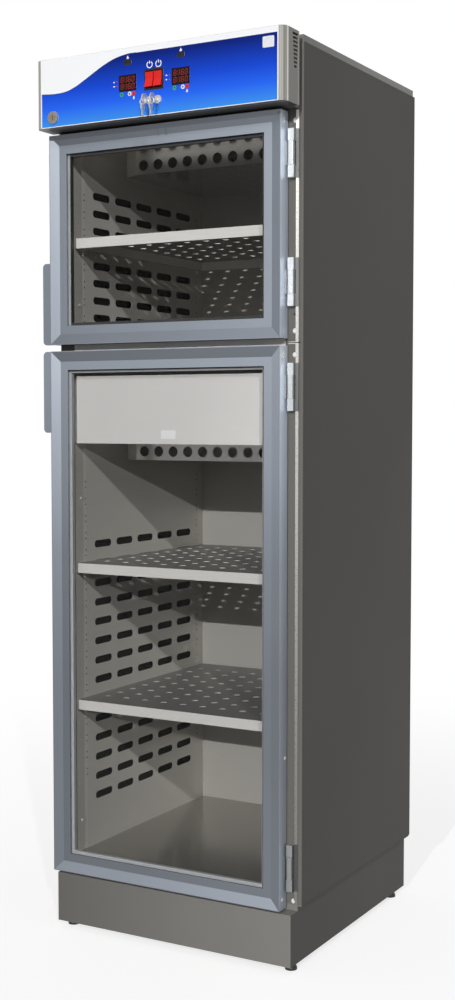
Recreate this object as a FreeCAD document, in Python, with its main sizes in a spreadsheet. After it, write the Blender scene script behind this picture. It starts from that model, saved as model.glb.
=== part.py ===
import FreeCAD, Part
import os
import re
import Sketcher

# Dual-chamber blanket warming cabinet: a sheet-steel carcass with two insulated stainless chambers, one
# glazed door for each, and a control header across the top.
#
# Working frame: X = 0 is the middle of the carcass and +X the hinge side, Y = 0 is the front face of the
# carcass and +Y runs to its rear, Z = 0 is the floor.  Every sub-part is then shifted in X and Y, so that
# the origin of the model is the middle of its overall footprint, on the floor.

SIZES = {
    # carcass
    "cab_width": 610,
    "cab_depth": 589,
    "side_bottom": 140.5,
    "side_top": 1915.5,
    "cover_rise": 14.5,
    "skin": 1.2,
    "side_flange": 40,
    "rear_flange": 20,
    "top_flange": 16,
    "bend_radius": 6,
    "cover_inset": 2,
    "pan_rim": 160,
    # plinth and levelling feet
    "plinth_top": 137.5,
    "plinth_nose_top": 127,
    "plinth_inset": 9,
    "plinth_nose": 32.5,
    "plinth_setback": 12,
    "plinth_skin": 2,
    "foot_height": 16,
    "foot_radius": 13,
    "foot_waist": 8,
    "foot_rim": 4,
    "foot_inset": 26,
    "foot_front": 4,
    "foot_rear": 532,
    "foot_pad": 64,
    "foot_pad_thickness": 4,
    "stem_radius": 5,
    "stem_length": 34,
    # chambers
    "chamber_width": 530,
    "chamber_depth": 565,
    "liner": 1,
    "lower_floor": 168,
    "lower_ceiling": 1100,
    "upper_floor": 1340,
    "head_space": 165.5,
    # air slots and pilaster holes of the liner walls
    "slot_length": 68.6,
    "slot_radius": 8.5,
    "slot_columns": 5,
    "slot_column_pitch": 89.8,
    "slot_first_column": 109.7,
    "lower_slot_first": 282,
    "lower_slot_pitch": 45,
    "lower_slot_rows": 14,
    "upper_slot_first": 1384.3,
    "upper_slot_pitch": 39.2,
    "upper_slot_rows": 8,
    "pilaster_radius": 2.25,
    "pilaster_pair": 13.1,
    "pilaster_pitch": 38.8,
    "pilaster_front": 41,
    "pilaster_rear": 534,
    "lower_pilaster_first": 346,
    "lower_pilaster_rows": 18,
    "upper_pilaster_first": 1379,
    "upper_pilaster_rows": 8,
    # insulation
    "batt_thickness": 25,
    # shelves and their clips
    "shelf_clearance": 1.5,
    "shelf_front": 3,
    "shelf_depth": 556,
    "shelf_lip": 22,
    "shelf_skin": 1.2,
    "upper_shelf_top": 1555,
    "middle_shelf_top": 830,
    "lower_shelf_top": 519,
    "shelf_hole_radius": 7.5,
    "shelf_hole_pitch": 50.4,
    "shelf_row_pitch": 52,
    "shelf_columns": 10,
    "shelf_rows": 9,
    "shelf_first_row": 70,
    "clip_reach": 12,
    "clip_width": 14,
    "clip_drop": 12,
    "clip_thickness": 1.5,
    # return air ducts
    "duct_front": 147,
    "duct_depth": 363,
    "duct_height": 40,
    "duct_width": 462,
    "duct_nose": 35,
    "duct_nose_depth": 18,
    "duct_skin": 1.2,
    "duct_hole_radius": 12,
    "duct_hole_pitch": 38.8,
    "duct_hole_count": 10,
    "duct_vent_radius": 3,
    "duct_vent_pitch": 25,
    "duct_vent_rows": 12,
    # blowers and heaters
    "fan_y": 330,
    "fan_inlet_radius": 60,
    "blower_width": 190,
    "blower_height": 60,
    "blower_skin": 1.5,
    "blower_outlet_width": 120,
    "blower_outlet_height": 36,
    "motor_radius": 40,
    "motor_height": 70,
    "motor_bore_depth": 32,
    "shaft_radius": 4,
    "shaft_clearance": 0.05,
    "shaft_hole_radius": 6,
    "wheel_radius": 70,
    "wheel_height": 40,
    "wheel_lift": 8,
    "wheel_plate": 2,
    "wheel_rim": 4,
    "blade_count": 24,
    "blade_length": 16,
    "blade_thickness": 1.5,
    "heater_radius": 82,
    "heater_tube_radius": 4,
    "heater_terminal_radius": 3,
    # control header
    "header_reach": 83.6,
    "header_side_gap": 0.5,
    "header_height": 146.6,
    "header_step": 12,
    "header_step_depth": 20,
    "header_radius": 14,
    "header_skin": 1.5,
    "vent_count": 9,
    "vent_drop": 9,
    "vent_pitch": 8,
    "vent_height": 4.4,
    "vent_y": 36.5,
    "vent_length": 25,
    "vent_taper": 1.6,
    "overlay_thickness": 0.6,
    "overlay_margin": 0.5,
    "overlay_radius": 2,
    # controls on the header, measured from the middle of the panel and down from its top
    "panel_gap": 0.2,
    "display_x": 65,
    "display_drop": 73,
    "display_width": 41,
    "display_height": 32,
    "display_rim": 1,
    "display_depth": 22,
    "button_radius": 4.6,
    "button_drop": 7,
    "button_left": 15,
    "button_middle": 5,
    "button_right": 15,
    "button_proud": 0.8,
    "button_depth": 3,
    "button_gap": 0.1,
    "rocker_x": 10.4,
    "rocker_drop": 72,
    "rocker_width": 18.4,
    "rocker_height": 31,
    "rocker_gap": 0.2,
    "rocker_end_gap": 2.5,
    "rocker_lift": 1.5,
    "rocker_throw": 16,
    "rocker_pivot_depth": 3,
    "rocker_depth": 9,
    "rocker_pin_radius": 1.5,
    "rocker_pin_reach": 0.8,
    "bezel_rim": 2,
    "bezel_thickness": 1.2,
    "bezel_depth": 20,
    "bezel_wall": 1.6,
    "usb_x": 65,
    "usb_drop": 30.5,
    "usb_width": 15,
    "usb_height": 7.5,
    "usb_depth": 20,
    "usb_rim": 1.2,
    "usb_recess": 1,
    "lock_x": 258,
    "lock_drop": 125.6,
    "lock_radius": 13.5,
    "lock_body_radius": 11,
    "lock_plug_radius": 8,
    "lock_depth": 24,
    "lock_proud": 3,
    "lock_cam_length": 15,
    "lock_cam_width": 11,
    "lock_cam_thickness": 2.5,
    "lock_clearance": 0.05,
    "keyway_length": 9,
    "keyway_width": 1.6,
    "keyway_depth": 2,
    "key_x": 10,
    "key_drop": 115,
    "key_barrel_radius": 8.5,
    "key_body_radius": 7,
    "key_plug_radius": 5,
    "key_body_depth": 25,
    "key_proud": 3,
    "key_thickness": 2,
    "key_bow_radius": 10.5,
    "key_bow_sink": 1,
    "key_neck": 9,
    "key_neck_height": 6,
    "key_hole_radius": 1.9,
    "key_hole_margin": 2.1,
    "ring_radius": 6.5,
    "ring_wire_radius": 0.9,
    "ring_slack": 0.3,
    "spare_bow_radius": 7.5,
    "spare_blade_width": 6,
    "spare_blade_clearance": 1.4,
    "board_width": 220,
    "board_height": 90,
    "board_drop": 70,
    "board_thickness": 1.6,
    "board_standoff": 16,
    "standoff_radius": 4,
    "standoff_inset": 10,
    "wiring_width": 100,
    "wiring_height": 24,
    "wiring_drop": 30,
    # doors
    "door_left": 305,
    "door_right": 271,
    "header_gap": 5.7,
    "upper_door_bottom": 1318.8,
    "lower_door_top": 1304.2,
    "lower_door_bottom": 131.4,
    "door_front": 35.8,
    "door_flat": 29.4,
    "door_back": 3,
    "rail_width": 41.5,
    "rim_land": 1.5,
    "bevel_width": 22.9,
    "glass_rebate": 8,
    "glass_edge_gap": 0.5,
    "lip_thickness": 3.4,
    "pane_thickness": 4,
    "pane_spacing": 9,
    "spacer_width": 14,
    "gasket_inset": 0.5,
    "gasket_width": 12,
    "pull_reach": 28,
    "pull_length": 181,
    "pull_front": 24,
    "pull_thickness": 5,
    "pull_radius": 9,
    # hinges
    "pin_x": 282.3,
    "pin_y": 8,
    "pin_radius": 3.5,
    "pin_clearance": 0.05,
    "knuckle_radius": 6.2,
    "knuckle_corner": 3,
    "hinge_height": 98,
    "door_knuckle_height": 48,
    "knuckle_gap": 0.4,
    "door_leaf_thickness": 2,
    "door_leaf_front": 13,
    "door_leaf_back": 3.5,
    "frame_knuckle_width": 13.5,
    "frame_knuckle_depth": 12.8,
    "frame_leaf_edge": 295.5,
    "frame_leaf_thickness": 2.2,
    "hinge_drop": 84.5,
    "upper_hinge_share": 0.289,
    "lower_hinge_rise": 87,
    # hole plugs on the hinge-side flange
    "plug_x": 286.5,
    "plug_radius": 5.5,
    "plug_dome": 2,
    "plug_drop": 18.5,
    "plug_rise": 15.5,
    "upper_plug_share": 0.236,
    # mains cord gland and rear vents
    "gland_x": 220,
    "gland_drop": 80,
    "gland_bore_radius": 5,
    "gland_radius": 9,
    "gland_nut_radius": 13,
    "gland_nut_depth": 7,
    "gland_reach": 20,
    "gland_inside": 8,
    "rear_vent_length": 60,
    "rear_vent_radius": 3,
    "rear_vent_pitch": 12,
    "rear_vent_rows": 6,
    "rear_vent_columns": 3,
    "rear_vent_column_pitch": 90,
    "rear_vent_drop": 135,
}

# Places that several sub-parts share, as expressions of the sizes above.
CAB = "cab_width / 2"
CHAMBER = "chamber_width / 2"
SHELF = "(chamber_width / 2 - shelf_clearance)"
HEADER = "(cab_width / 2 - header_side_gap)"
OVERLAY = "(cab_width / 2 - header_side_gap - header_radius)"
PANEL = "-header_reach"
RING_SEAT = "(key_hole_radius - ring_wire_radius - ring_slack)"
KEY_FRONT = "(header_reach + key_proud + key_neck - key_bow_sink + 2 * key_bow_radius)"
KEY_HOLE_Y = f"(key_hole_margin + key_hole_radius - {KEY_FRONT})"
SPARE_BOW_FRONT = f"(spare_bow_radius - {KEY_HOLE_Y})"
FRONT_MOST = f"max({KEY_FRONT}; {SPARE_BOW_FRONT})"
CENTRE_X = "((cab_width / 2 - door_left - pull_reach) / 2)"
CENTRE_Y = f"((cab_depth + gland_reach - {FRONT_MOST}) / 2)"

# Heights that follow from the top of the carcass: the header hangs from the cover, with its controls, and
# the upper door and the upper chamber's ceiling keep their places below it.  The gap under the upper door's
# lower hinge takes its share of the door's height that the hinges leave free.
HEIGHTS = {
    "cover_top": "side_top + cover_rise",
    "header_bottom": "cover_top - header_height",
    "vent_first": "cover_top - vent_drop",
    "display_z": "cover_top - display_drop",
    "rocker_z": "cover_top - rocker_drop",
    "usb_z": "cover_top - usb_drop",
    "lock_z": "cover_top - lock_drop",
    "key_z": "cover_top - key_drop",
    "board_z": "cover_top - board_drop",
    "wiring_z": "cover_top - wiring_drop",
    "gland_z": "cover_top - gland_drop",
    "rear_vent_first": "cover_top - rear_vent_drop",
    "upper_door_top": "header_bottom - header_gap",
    "upper_hinge_gap": "upper_hinge_share"
                       " * (upper_door_top - upper_door_bottom - hinge_drop - 1.5 * hinge_height)",
    "upper_ceiling": "side_top - head_space",
}

doc = FreeCAD.newDocument("WarmingCabinet")
sheet = doc.addObject("Spreadsheet::Sheet", "Sizes")
for row, (alias, size) in enumerate(SIZES.items(), start=1):
    sheet.set(f"A{row}", alias)
    sheet.set(f"B{row}", str(size))
    sheet.setAlias(f"B{row}", alias)
doc.recompute()

nodes = {}


def expression(text):
    """Turn the plain size names in a formula into references to the sheet, and write heights out."""
    def written_out(word):
        if word[0] in HEIGHTS:
            return f"({expression(HEIGHTS[word[0]])})"
        return "Sizes." + word[0] if word[0] in SIZES else word[0]

    return re.sub(r"[a-z_]+", written_out, text)


def value(text):
    return float(sheet.evalExpression(expression(text)))


def bind(thing, prop, text):
    thing.setExpression(prop, expression(text))


def keep(label, thing):
    """Name a finished sub-part."""
    thing.Label = label
    nodes[label] = thing
    return thing


def group(label, things):
    """One node made of several separate solids."""
    compound = doc.addObject("Part::Compound", "Group")
    compound.Links = things
    return keep(label, compound)


# --- Part primitives and booleans -------------------------------------------------------------------

def slab(x_low, x_high, y_low, y_high, z_low, z_high):
    box = doc.addObject("Part::Box", "Slab")
    bind(box, "Length", f"({x_high}) - ({x_low})")
    bind(box, "Width", f"({y_high}) - ({y_low})")
    bind(box, "Height", f"({z_high}) - ({z_low})")
    bind(box, "Placement.Base.x", f"({x_low}) - {CENTRE_X}")
    bind(box, "Placement.Base.y", f"({y_low}) - {CENTRE_Y}")
    bind(box, "Placement.Base.z", z_low)
    return box


def place(thing, x, y, z, axis="Z"):
    """Put a round primitive's base centre at a point, with its axis along X, Y or Z."""
    turns = {
        "X": FreeCAD.Rotation(FreeCAD.Vector(0, 1, 0), 90),
        "Y": FreeCAD.Rotation(FreeCAD.Vector(1, 0, 0), -90),
        "Z": FreeCAD.Rotation(),
    }
    thing.Placement = FreeCAD.Placement(FreeCAD.Vector(), turns[axis])
    bind(thing, "Placement.Base.x", f"({x}) - {CENTRE_X}")
    bind(thing, "Placement.Base.y", f"({y}) - {CENTRE_Y}")
    bind(thing, "Placement.Base.z", z)
    return thing


def rod(x, y, z, radius, length, axis="Z"):
    cylinder = doc.addObject("Part::Cylinder", "Rod")
    bind(cylinder, "Radius", radius)
    bind(cylinder, "Height", length)
    return place(cylinder, x, y, z, axis)


def cone(x, y, z, base_radius, top_radius, length, axis="Z"):
    taper = doc.addObject("Part::Cone", "Taper")
    bind(taper, "Radius1", base_radius)
    bind(taper, "Radius2", top_radius)
    bind(taper, "Height", length)
    return place(taper, x, y, z, axis)


def fused(things):
    union = doc.addObject("Part::MultiFuse", "Union")
    union.Shapes = things
    return union


def cut(base, tool):
    difference = doc.addObject("Part::Cut", "Difference")
    difference.Base = base
    difference.Tool = tool
    return difference


# --- PartDesign bodies ------------------------------------------------------------------------------

def new_body():
    body = doc.addObject("PartDesign::Body", "Body")
    bind(body, "Placement.Base.x", f"-{CENTRE_X}")
    bind(body, "Placement.Base.y", f"-{CENTRE_Y}")
    return body


# Which way a level counts on each origin plane's own normal.
PLANE_SENSE = {"XY_Plane": "", "XZ_Plane": "-", "YZ_Plane": ""}


class Drawing:
    """A sketch on an origin plane of a body, with every point tied to the sizes."""

    def __init__(self, body, plane, level):
        self.plane = plane
        self.sketch = body.newObject("Sketcher::SketchObject", "Sketch")
        support = [part for part in body.Origin.OriginFeatures if part.Role == plane][0]
        self.sketch.AttachmentSupport = (support, [""])
        self.sketch.MapMode = "FlatFace"
        bind(self.sketch, ".AttachmentOffset.Base.z", f"{PLANE_SENSE[plane]}({level})")

    def tie(self, kind, geometry, point, text):
        if kind == "Radius":
            number = self.sketch.addConstraint(Sketcher.Constraint(kind, geometry, value(text)))
        else:
            number = self.sketch.addConstraint(Sketcher.Constraint(kind, -1, 1, geometry, point, value(text)))
        bind(self.sketch, f"Constraints[{number}]", text)

    def outline(self, points):
        corners = [FreeCAD.Vector(value(x), value(y), 0) for x, y in points]
        lines = [
            self.sketch.addGeometry(Part.LineSegment(corner, corners[(index + 1) % len(corners)]), False)
            for index, corner in enumerate(corners)
        ]
        for index, line in enumerate(lines):
            following = lines[(index + 1) % len(lines)]
            self.sketch.addConstraint(Sketcher.Constraint("Coincident", line, 2, following, 1))
        for line, (x, y) in zip(lines, points):
            self.tie("DistanceX", line, 1, x)
            self.tie("DistanceY", line, 1, y)
        return self

    def rectangle(self, x_low, x_high, y_low, y_high):
        return self.outline([(x_low, y_low), (x_high, y_low), (x_high, y_high), (x_low, y_high)])

    def circle(self, x, y, radius):
        centre = FreeCAD.Vector(value(x), value(y), 0)
        ring = self.sketch.addGeometry(Part.Circle(centre, FreeCAD.Vector(0, 0, 1), value(radius)), False)
        self.tie("DistanceX", ring, 3, x)
        self.tie("DistanceY", ring, 3, y)
        self.tie("Radius", ring, 0, radius)
        return self

    def slot(self, x, y, length, radius):
        """A round-ended slot along the sketch's X direction, centred on x, y."""
        half = value(f"{length} / 2 - {radius}")
        middle, up = FreeCAD.Vector(value(x), value(y), 0), FreeCAD.Vector(0, value(radius), 0)
        left, right = middle - FreeCAD.Vector(half, 0, 0), middle + FreeCAD.Vector(half, 0, 0)
        outward = FreeCAD.Vector(value(radius), 0, 0)
        top = self.sketch.addGeometry(Part.LineSegment(left + up, right + up), False)
        bottom = self.sketch.addGeometry(Part.LineSegment(left - up, right - up), False)
        cap_left = self.sketch.addGeometry(Part.Arc(left + up, left - outward, left - up), False)
        cap_right = self.sketch.addGeometry(Part.Arc(right - up, right + outward, right + up), False)
        for first, first_point, second, second_point in (
            (cap_left, 1, top, 1), (cap_left, 2, bottom, 1),
            (cap_right, 1, bottom, 2), (cap_right, 2, top, 2),
        ):
            self.sketch.addConstraint(
                Sketcher.Constraint("Tangent", first, first_point, second, second_point))
        self.tie("DistanceX", cap_left, 3, f"{x} - ({length} / 2 - {radius})")
        self.tie("DistanceX", cap_right, 3, f"{x} + ({length} / 2 - {radius})")
        self.tie("DistanceY", cap_left, 3, y)
        self.tie("Radius", cap_left, 0, radius)
        self.sketch.addConstraint(Sketcher.Constraint("Horizontal", top))
        return self


def volume(body):
    doc.recompute()
    return body.Shape.Volume if body.Shape.Solids else 0.0


def extend(body, drawing, length):
    """Pad a drawing towards +X, +Y or +Z."""
    before = volume(body)
    pad = body.newObject("PartDesign::Pad", "Pad")
    pad.Profile = drawing.sketch
    pad.Reversed = drawing.plane == "XZ_Plane"
    bind(pad, "Length", length)
    if volume(body) <= before:
        raise RuntimeError(f"{body.Label}: a pad added nothing")
    return pad


def carve(body, drawing, length):
    """Pocket a drawing towards +X, +Y or +Z."""
    before = volume(body)
    pocket = body.newObject("PartDesign::Pocket", "Pocket")
    pocket.Profile = drawing.sketch
    pocket.Reversed = drawing.plane != "XZ_Plane"
    bind(pocket, "Length", length)
    if volume(body) >= before:
        raise RuntimeError(f"{body.Label}: a pocket cut nothing")
    return pocket


def repeat(body, feature, columns, column_span, rows=None, row_span=None):
    """Repeat a pocket along its sketch's own X direction and, if rows is given, along its Y direction."""
    before = volume(body)
    pattern = body.newObject("PartDesign::LinearPattern", "Pattern")
    pattern.Originals = [feature]
    sketch = feature.Profile[0]
    pattern.Direction = (sketch, ["H_Axis"])
    pattern.Occurrences = round(value(columns))
    bind(pattern, "Length", column_span)
    if rows:
        pattern.Direction2 = (sketch, ["V_Axis"])
        pattern.Occurrences2 = round(value(rows))
        bind(pattern, "Length2", row_span)
    body.Tip = pattern
    if volume(body) >= before:
        raise RuntimeError(f"{body.Label}: a pattern cut nothing")
    return pattern


def stack(body, feature, rows, row_span):
    """Repeat a pocket along its sketch's own Y direction only."""
    before = volume(body)
    pattern = body.newObject("PartDesign::LinearPattern", "Pattern")
    pattern.Originals = [feature]
    pattern.Direction = (feature.Profile[0], ["V_Axis"])
    pattern.Occurrences = round(value(rows))
    bind(pattern, "Length", row_span)
    body.Tip = pattern
    if volume(body) >= before:
        raise RuntimeError(f"{body.Label}: a pattern cut nothing")
    return pattern


def faces_at(body, axis, level):
    """Names of the body's flat faces at one level along x, y or z."""
    doc.recompute()
    return [
        f"Face{index}" for index, face in enumerate(body.Tip.Shape.Faces, start=1)
        if all(near(getattr(corner.Point, axis), level) for corner in face.Vertexes)
    ]


def edges_along(body, axis, test):
    """Names of the body's edges that run along x, y or z and whose ends pass a test."""
    doc.recompute()
    names = []
    for index, edge in enumerate(body.Tip.Shape.Edges, start=1):
        ends = [corner.Point for corner in edge.Vertexes]
        span = ends[-1] - ends[0]
        if span.Length > 0 and abs(abs(getattr(span, axis)) - span.Length) < 0.01 and all(map(test, ends)):
            names.append(f"Edge{index}")
    return names


def near(number, text):
    return abs(number - value(text)) < 0.01


def upright_edges(body, x, y):
    """Names of the vertical edges at one place in plan; x stands for both signs."""
    return edges_along(body, "z", lambda end: near(abs(end.x), f"abs({x})") and near(end.y, y))


def rounded(body, edges, radius):
    if not edges:
        raise RuntimeError(f"{body.Label}: no edges to round")
    solid = body.Tip
    fillet = body.newObject("PartDesign::Fillet", "Fillet")
    fillet.Base = (solid, edges)
    bind(fillet, "Radius", radius)
    body.Tip = fillet
    doc.recompute()
    return fillet


def hollowed(body, faces, thickness):
    """Leave a wall of the given thickness, open at the named faces."""
    before = volume(body)
    solid = body.Tip
    shell = body.newObject("PartDesign::Thickness", "Shell")
    shell.Base = (solid, faces)
    shell.Reversed = True
    shell.Mode = "Skin"
    shell.Join = "Intersection"
    bind(shell, "Value", thickness)
    body.Tip = shell
    if volume(body) >= before:
        raise RuntimeError(f"{body.Label}: the shell is not hollow")
    return shell


# --- Carcass ----------------------------------------------------------------------------------------

def side_panel(label, sign):
    """Bent side sheet: front flange for the door to seal on, rear flange, and a top flange for the cover."""
    outer = f"{sign}({CAB})"
    inner = f"{sign}({CAB} - skin)"
    front_edge = f"{sign}({CAB} - side_flange)"
    rear_edge = f"{sign}({CAB} - rear_flange)"
    body = new_body()
    plan = Drawing(body, "XY_Plane", "side_bottom").outline([
        (front_edge, "0"), (outer, "0"), (outer, "cab_depth"), (rear_edge, "cab_depth"),
        (rear_edge, "cab_depth - skin"), (inner, "cab_depth - skin"), (inner, "skin"), (front_edge, "skin"),
    ])
    extend(body, plan, "side_top - side_bottom")
    rounded(body, upright_edges(body, inner, "skin"), "bend_radius - skin")
    rounded(body, upright_edges(body, outer, "0"), "bend_radius")
    ledge = Drawing(body, "XY_Plane", "side_top - skin").outline([
        (inner, "bend_radius"), (inner, "cab_depth - skin"),
        (f"{sign}({CAB} - top_flange)", "cab_depth - skin"), (f"{sign}({CAB} - top_flange)", "bend_radius"),
    ])
    extend(body, ledge, "skin")
    return keep(label, body)


def rear_panel():
    body = new_body()
    sheet_face = Drawing(body, "XZ_Plane", "cab_depth - 2 * skin").rectangle(
        f"-({CAB} - 2 * skin)", f"{CAB} - 2 * skin", "side_bottom", "side_top - skin")
    sheet_face.circle("gland_x", "gland_z", "gland_radius")
    extend(body, sheet_face, "skin")
    vent = Drawing(body, "XZ_Plane", "cab_depth - 2 * skin").slot(
        "-rear_vent_column_pitch * (rear_vent_columns - 1) / 2", "rear_vent_first",
        "rear_vent_length", "rear_vent_radius")
    repeat(body, carve(body, vent, "skin"), "rear_vent_columns",
           "rear_vent_column_pitch * (rear_vent_columns - 1)",
           "rear_vent_rows", "rear_vent_pitch * (rear_vent_rows - 1)")
    return keep("rear_panel", body)


def top_cover():
    body = new_body()
    outline = Drawing(body, "XY_Plane", "side_top").rectangle(
        f"-({CAB} - cover_inset)", f"{CAB} - cover_inset", "cover_inset", "cab_depth - cover_inset")
    extend(body, outline, "cover_top - side_top")
    corners = upright_edges(body, f"{CAB} - cover_inset", "cab_depth - cover_inset")
    rounded(body, corners, "bend_radius")
    hollowed(body, faces_at(body, "z", "side_top"), "skin")
    return keep("top_cover", body)


def bottom_pan():
    body = new_body()
    outline = Drawing(body, "XY_Plane", "plinth_top").rectangle(
        f"-({CAB} - skin)", f"{CAB} - skin", "skin", "cab_depth - 2 * skin")
    extend(body, outline, "pan_rim - plinth_top")
    rounded(body, upright_edges(body, f"{CAB} - skin", "skin"), "bend_radius - skin")
    hollowed(body, faces_at(body, "z", "pan_rim"), "skin")
    return keep("bottom_pan", body)


def head_rail():
    """Front sheet above the upper chamber; the header's wiring passes through it."""
    body = new_body()
    face = Drawing(body, "XZ_Plane", "0").rectangle(f"-{CHAMBER}", CHAMBER, "upper_ceiling", "side_top")
    face.rectangle("-wiring_width / 2", "wiring_width / 2",
                   "wiring_z - wiring_height / 2", "wiring_z + wiring_height / 2")
    extend(body, face, "skin")
    return keep("head_rail", body)


def centre_panel():
    """Pale front sheet between the two chambers."""
    return keep("centre_panel", slab(f"-{CHAMBER}", CHAMBER, "0", "skin", "lower_ceiling", "upper_floor"))


def sill_rail():
    body = new_body()
    face = Drawing(body, "XZ_Plane", "0").outline([
        (f"-{CAB}", "plinth_top"), (CAB, "plinth_top"), (CAB, "side_bottom"), (CHAMBER, "side_bottom"),
        (CHAMBER, "lower_floor"), (f"-{CHAMBER}", "lower_floor"), (f"-{CHAMBER}", "side_bottom"),
        (f"-{CAB}", "side_bottom"),
    ])
    extend(body, face, "skin")
    return keep("sill_rail", body)


def plinth():
    """Welded base, lower in front to clear the door, open below, with a pad in each corner for a foot."""
    half = f"({CAB} - plinth_inset)"
    rear = "(cab_depth - plinth_setback)"
    body = new_body()
    outline = Drawing(body, "YZ_Plane", f"-{half}").outline([
        ("-plinth_nose", "foot_height"), (rear, "foot_height"), (rear, "plinth_top"), ("0", "plinth_top"),
        ("0", "plinth_nose_top"), ("-plinth_nose", "plinth_nose_top"),
    ])
    extend(body, outline, f"2 * {half}")
    hollowed(body, faces_at(body, "z", "foot_height"), "plinth_skin")
    spans = [("-plinth_nose", "foot_front + foot_pad / 2"), ("foot_rear - foot_pad / 2", rear)]
    for sign in ("-", ""):
        for y_low, y_high in spans:
            pad = Drawing(body, "XY_Plane", "foot_height").rectangle(
                f"{sign}({half} - foot_pad)", f"{sign}{half}", y_low, y_high)
            extend(body, pad, "foot_pad_thickness")
    holes = Drawing(body, "XY_Plane", "foot_height")
    for sign in ("-", ""):
        for y in ("foot_front", "foot_rear"):
            holes.circle(f"{sign}({CAB} - foot_inset)", y, "stem_radius")
    carve(body, holes, "foot_pad_thickness")
    return keep("plinth", body)


def levelling_feet():
    feet = []
    for sign in ("-", ""):
        for y in ("foot_front", "foot_rear"):
            x = f"{sign}({CAB} - foot_inset)"
            rim = rod(x, y, "0", "foot_radius", "foot_rim")
            flare = cone(x, y, "foot_rim", "foot_radius", "foot_waist", "foot_height - foot_rim")
            stem = rod(x, y, "foot_height", "stem_radius", "stem_length")
            feet.append(fused([rim, flare, stem]))
    return group("levelling_feet", feet)


# --- Chamber liners ---------------------------------------------------------------------------------

def liner_side(sign, floor, ceiling, slots, pilasters):
    """One side wall: rows of air slots between two columns of paired shelf-clip holes."""
    wall = f"({CHAMBER})" if not sign else f"-({CHAMBER} + liner)"
    slot_first, slot_pitch, slot_rows = slots
    pilaster_first, pilaster_rows = pilasters
    body = new_body()
    face = Drawing(body, "YZ_Plane", wall).rectangle(
        "skin", "chamber_depth + liner", f"{floor} - liner", f"{ceiling} + liner")
    extend(body, face, "liner")
    slot = Drawing(body, "YZ_Plane", wall).slot("slot_first_column", slot_first, "slot_length", "slot_radius")
    repeat(body, carve(body, slot, "liner"), "slot_columns", "slot_column_pitch * (slot_columns - 1)",
           slot_rows, f"{slot_pitch} * ({slot_rows} - 1)")
    pairs = Drawing(body, "YZ_Plane", wall)
    for column in ("pilaster_front", "pilaster_rear"):
        pairs.circle(column, f"{pilaster_first} - pilaster_pair / 2", "pilaster_radius")
        pairs.circle(column, f"{pilaster_first} + pilaster_pair / 2", "pilaster_radius")
    stack(body, carve(body, pairs, "liner"), pilaster_rows, f"pilaster_pitch * ({pilaster_rows} - 1)")
    return body


def liner_deck(z_low, with_inlet):
    """Floor or ceiling sheet; a ceiling has the round inlet of its blower."""
    body = new_body()
    sheet_face = Drawing(body, "XY_Plane", z_low).rectangle(f"-{CHAMBER}", CHAMBER, "skin", "chamber_depth")
    if with_inlet:
        sheet_face.circle("0", "fan_y", "fan_inlet_radius")
    extend(body, sheet_face, "liner")
    return body


def chamber_liner(name, floor, ceiling, slots, pilasters):
    sides = [liner_side(sign, floor, ceiling, slots, pilasters) for sign in ("-", "")]
    back = slab(f"-{CHAMBER}", CHAMBER, "chamber_depth", "chamber_depth + liner",
                f"{floor} - liner", f"{ceiling} + liner")
    group(f"{name}_liner_walls", sides + [back])
    group(f"{name}_liner_decks", [liner_deck(f"{floor} - liner", False), liner_deck(ceiling, True)])


def insulation():
    side_low = f"{CAB} - skin - batt_thickness"
    side_high = f"{CAB} - skin"
    rear = "cab_depth - 2 * skin"
    batts = [
        slab(side_low, side_high, "bend_radius + skin", rear, "pan_rim", "side_top - skin"),
        slab(f"-({side_high})", f"-({side_low})", "bend_radius + skin", rear, "pan_rim", "side_top - skin"),
        slab(f"-{CHAMBER}", CHAMBER, "chamber_depth + liner", rear,
             "lower_floor - liner", "upper_ceiling + liner"),
        slab(f"-{CHAMBER}", CHAMBER, "2 * skin", "chamber_depth", "plinth_top + skin", "lower_floor - liner"),
    ]
    return group("insulation", batts)


# --- Shelves ----------------------------------------------------------------------------------------

def shelf(label, top):
    """Perforated tray turned down on all four sides."""
    body = new_body()
    outline = Drawing(body, "XY_Plane", f"{top} - shelf_lip").rectangle(
        f"-{SHELF}", SHELF, "shelf_front", "shelf_front + shelf_depth")
    extend(body, outline, "shelf_lip")
    hollowed(body, faces_at(body, "z", f"{top} - shelf_lip"), "shelf_skin")
    hole = Drawing(body, "XY_Plane", f"{top} - shelf_skin").circle(
        "-shelf_hole_pitch * (shelf_columns - 1) / 2", "shelf_first_row", "shelf_hole_radius")
    repeat(body, carve(body, hole, "shelf_skin"), "shelf_columns", "shelf_hole_pitch * (shelf_columns - 1)",
           "shelf_rows", "shelf_row_pitch * (shelf_rows - 1)")
    return keep(label, body)


def shelf_clips():
    """Angle clips in the pilaster holes: a seat under the shelf's edge and a tongue down the wall."""
    clips = []
    for top in ("upper_shelf_top", "middle_shelf_top", "lower_shelf_top"):
        seat = f"({top} - shelf_lip)"
        for column in ("pilaster_front", "pilaster_rear"):
            y_low, y_high = f"{column} - clip_width / 2", f"{column} + clip_width / 2"
            for sign in ("-", ""):
                wall, reach, tongue = CHAMBER, f"{CHAMBER} - clip_reach", f"{CHAMBER} - clip_thickness"
                spans = [(reach, wall), (tongue, wall)]
                if sign:
                    spans = [(f"-({high})", f"-({low})") for low, high in spans]
                ledge = slab(*spans[0], y_low, y_high, f"{seat} - clip_thickness", seat)
                down = slab(*spans[1], y_low, y_high, f"{seat} - clip_drop", f"{seat} - clip_thickness")
                clips.append(fused([ledge, down]))
    return group("shelf_clips", clips)


# --- Air system -------------------------------------------------------------------------------------

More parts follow.
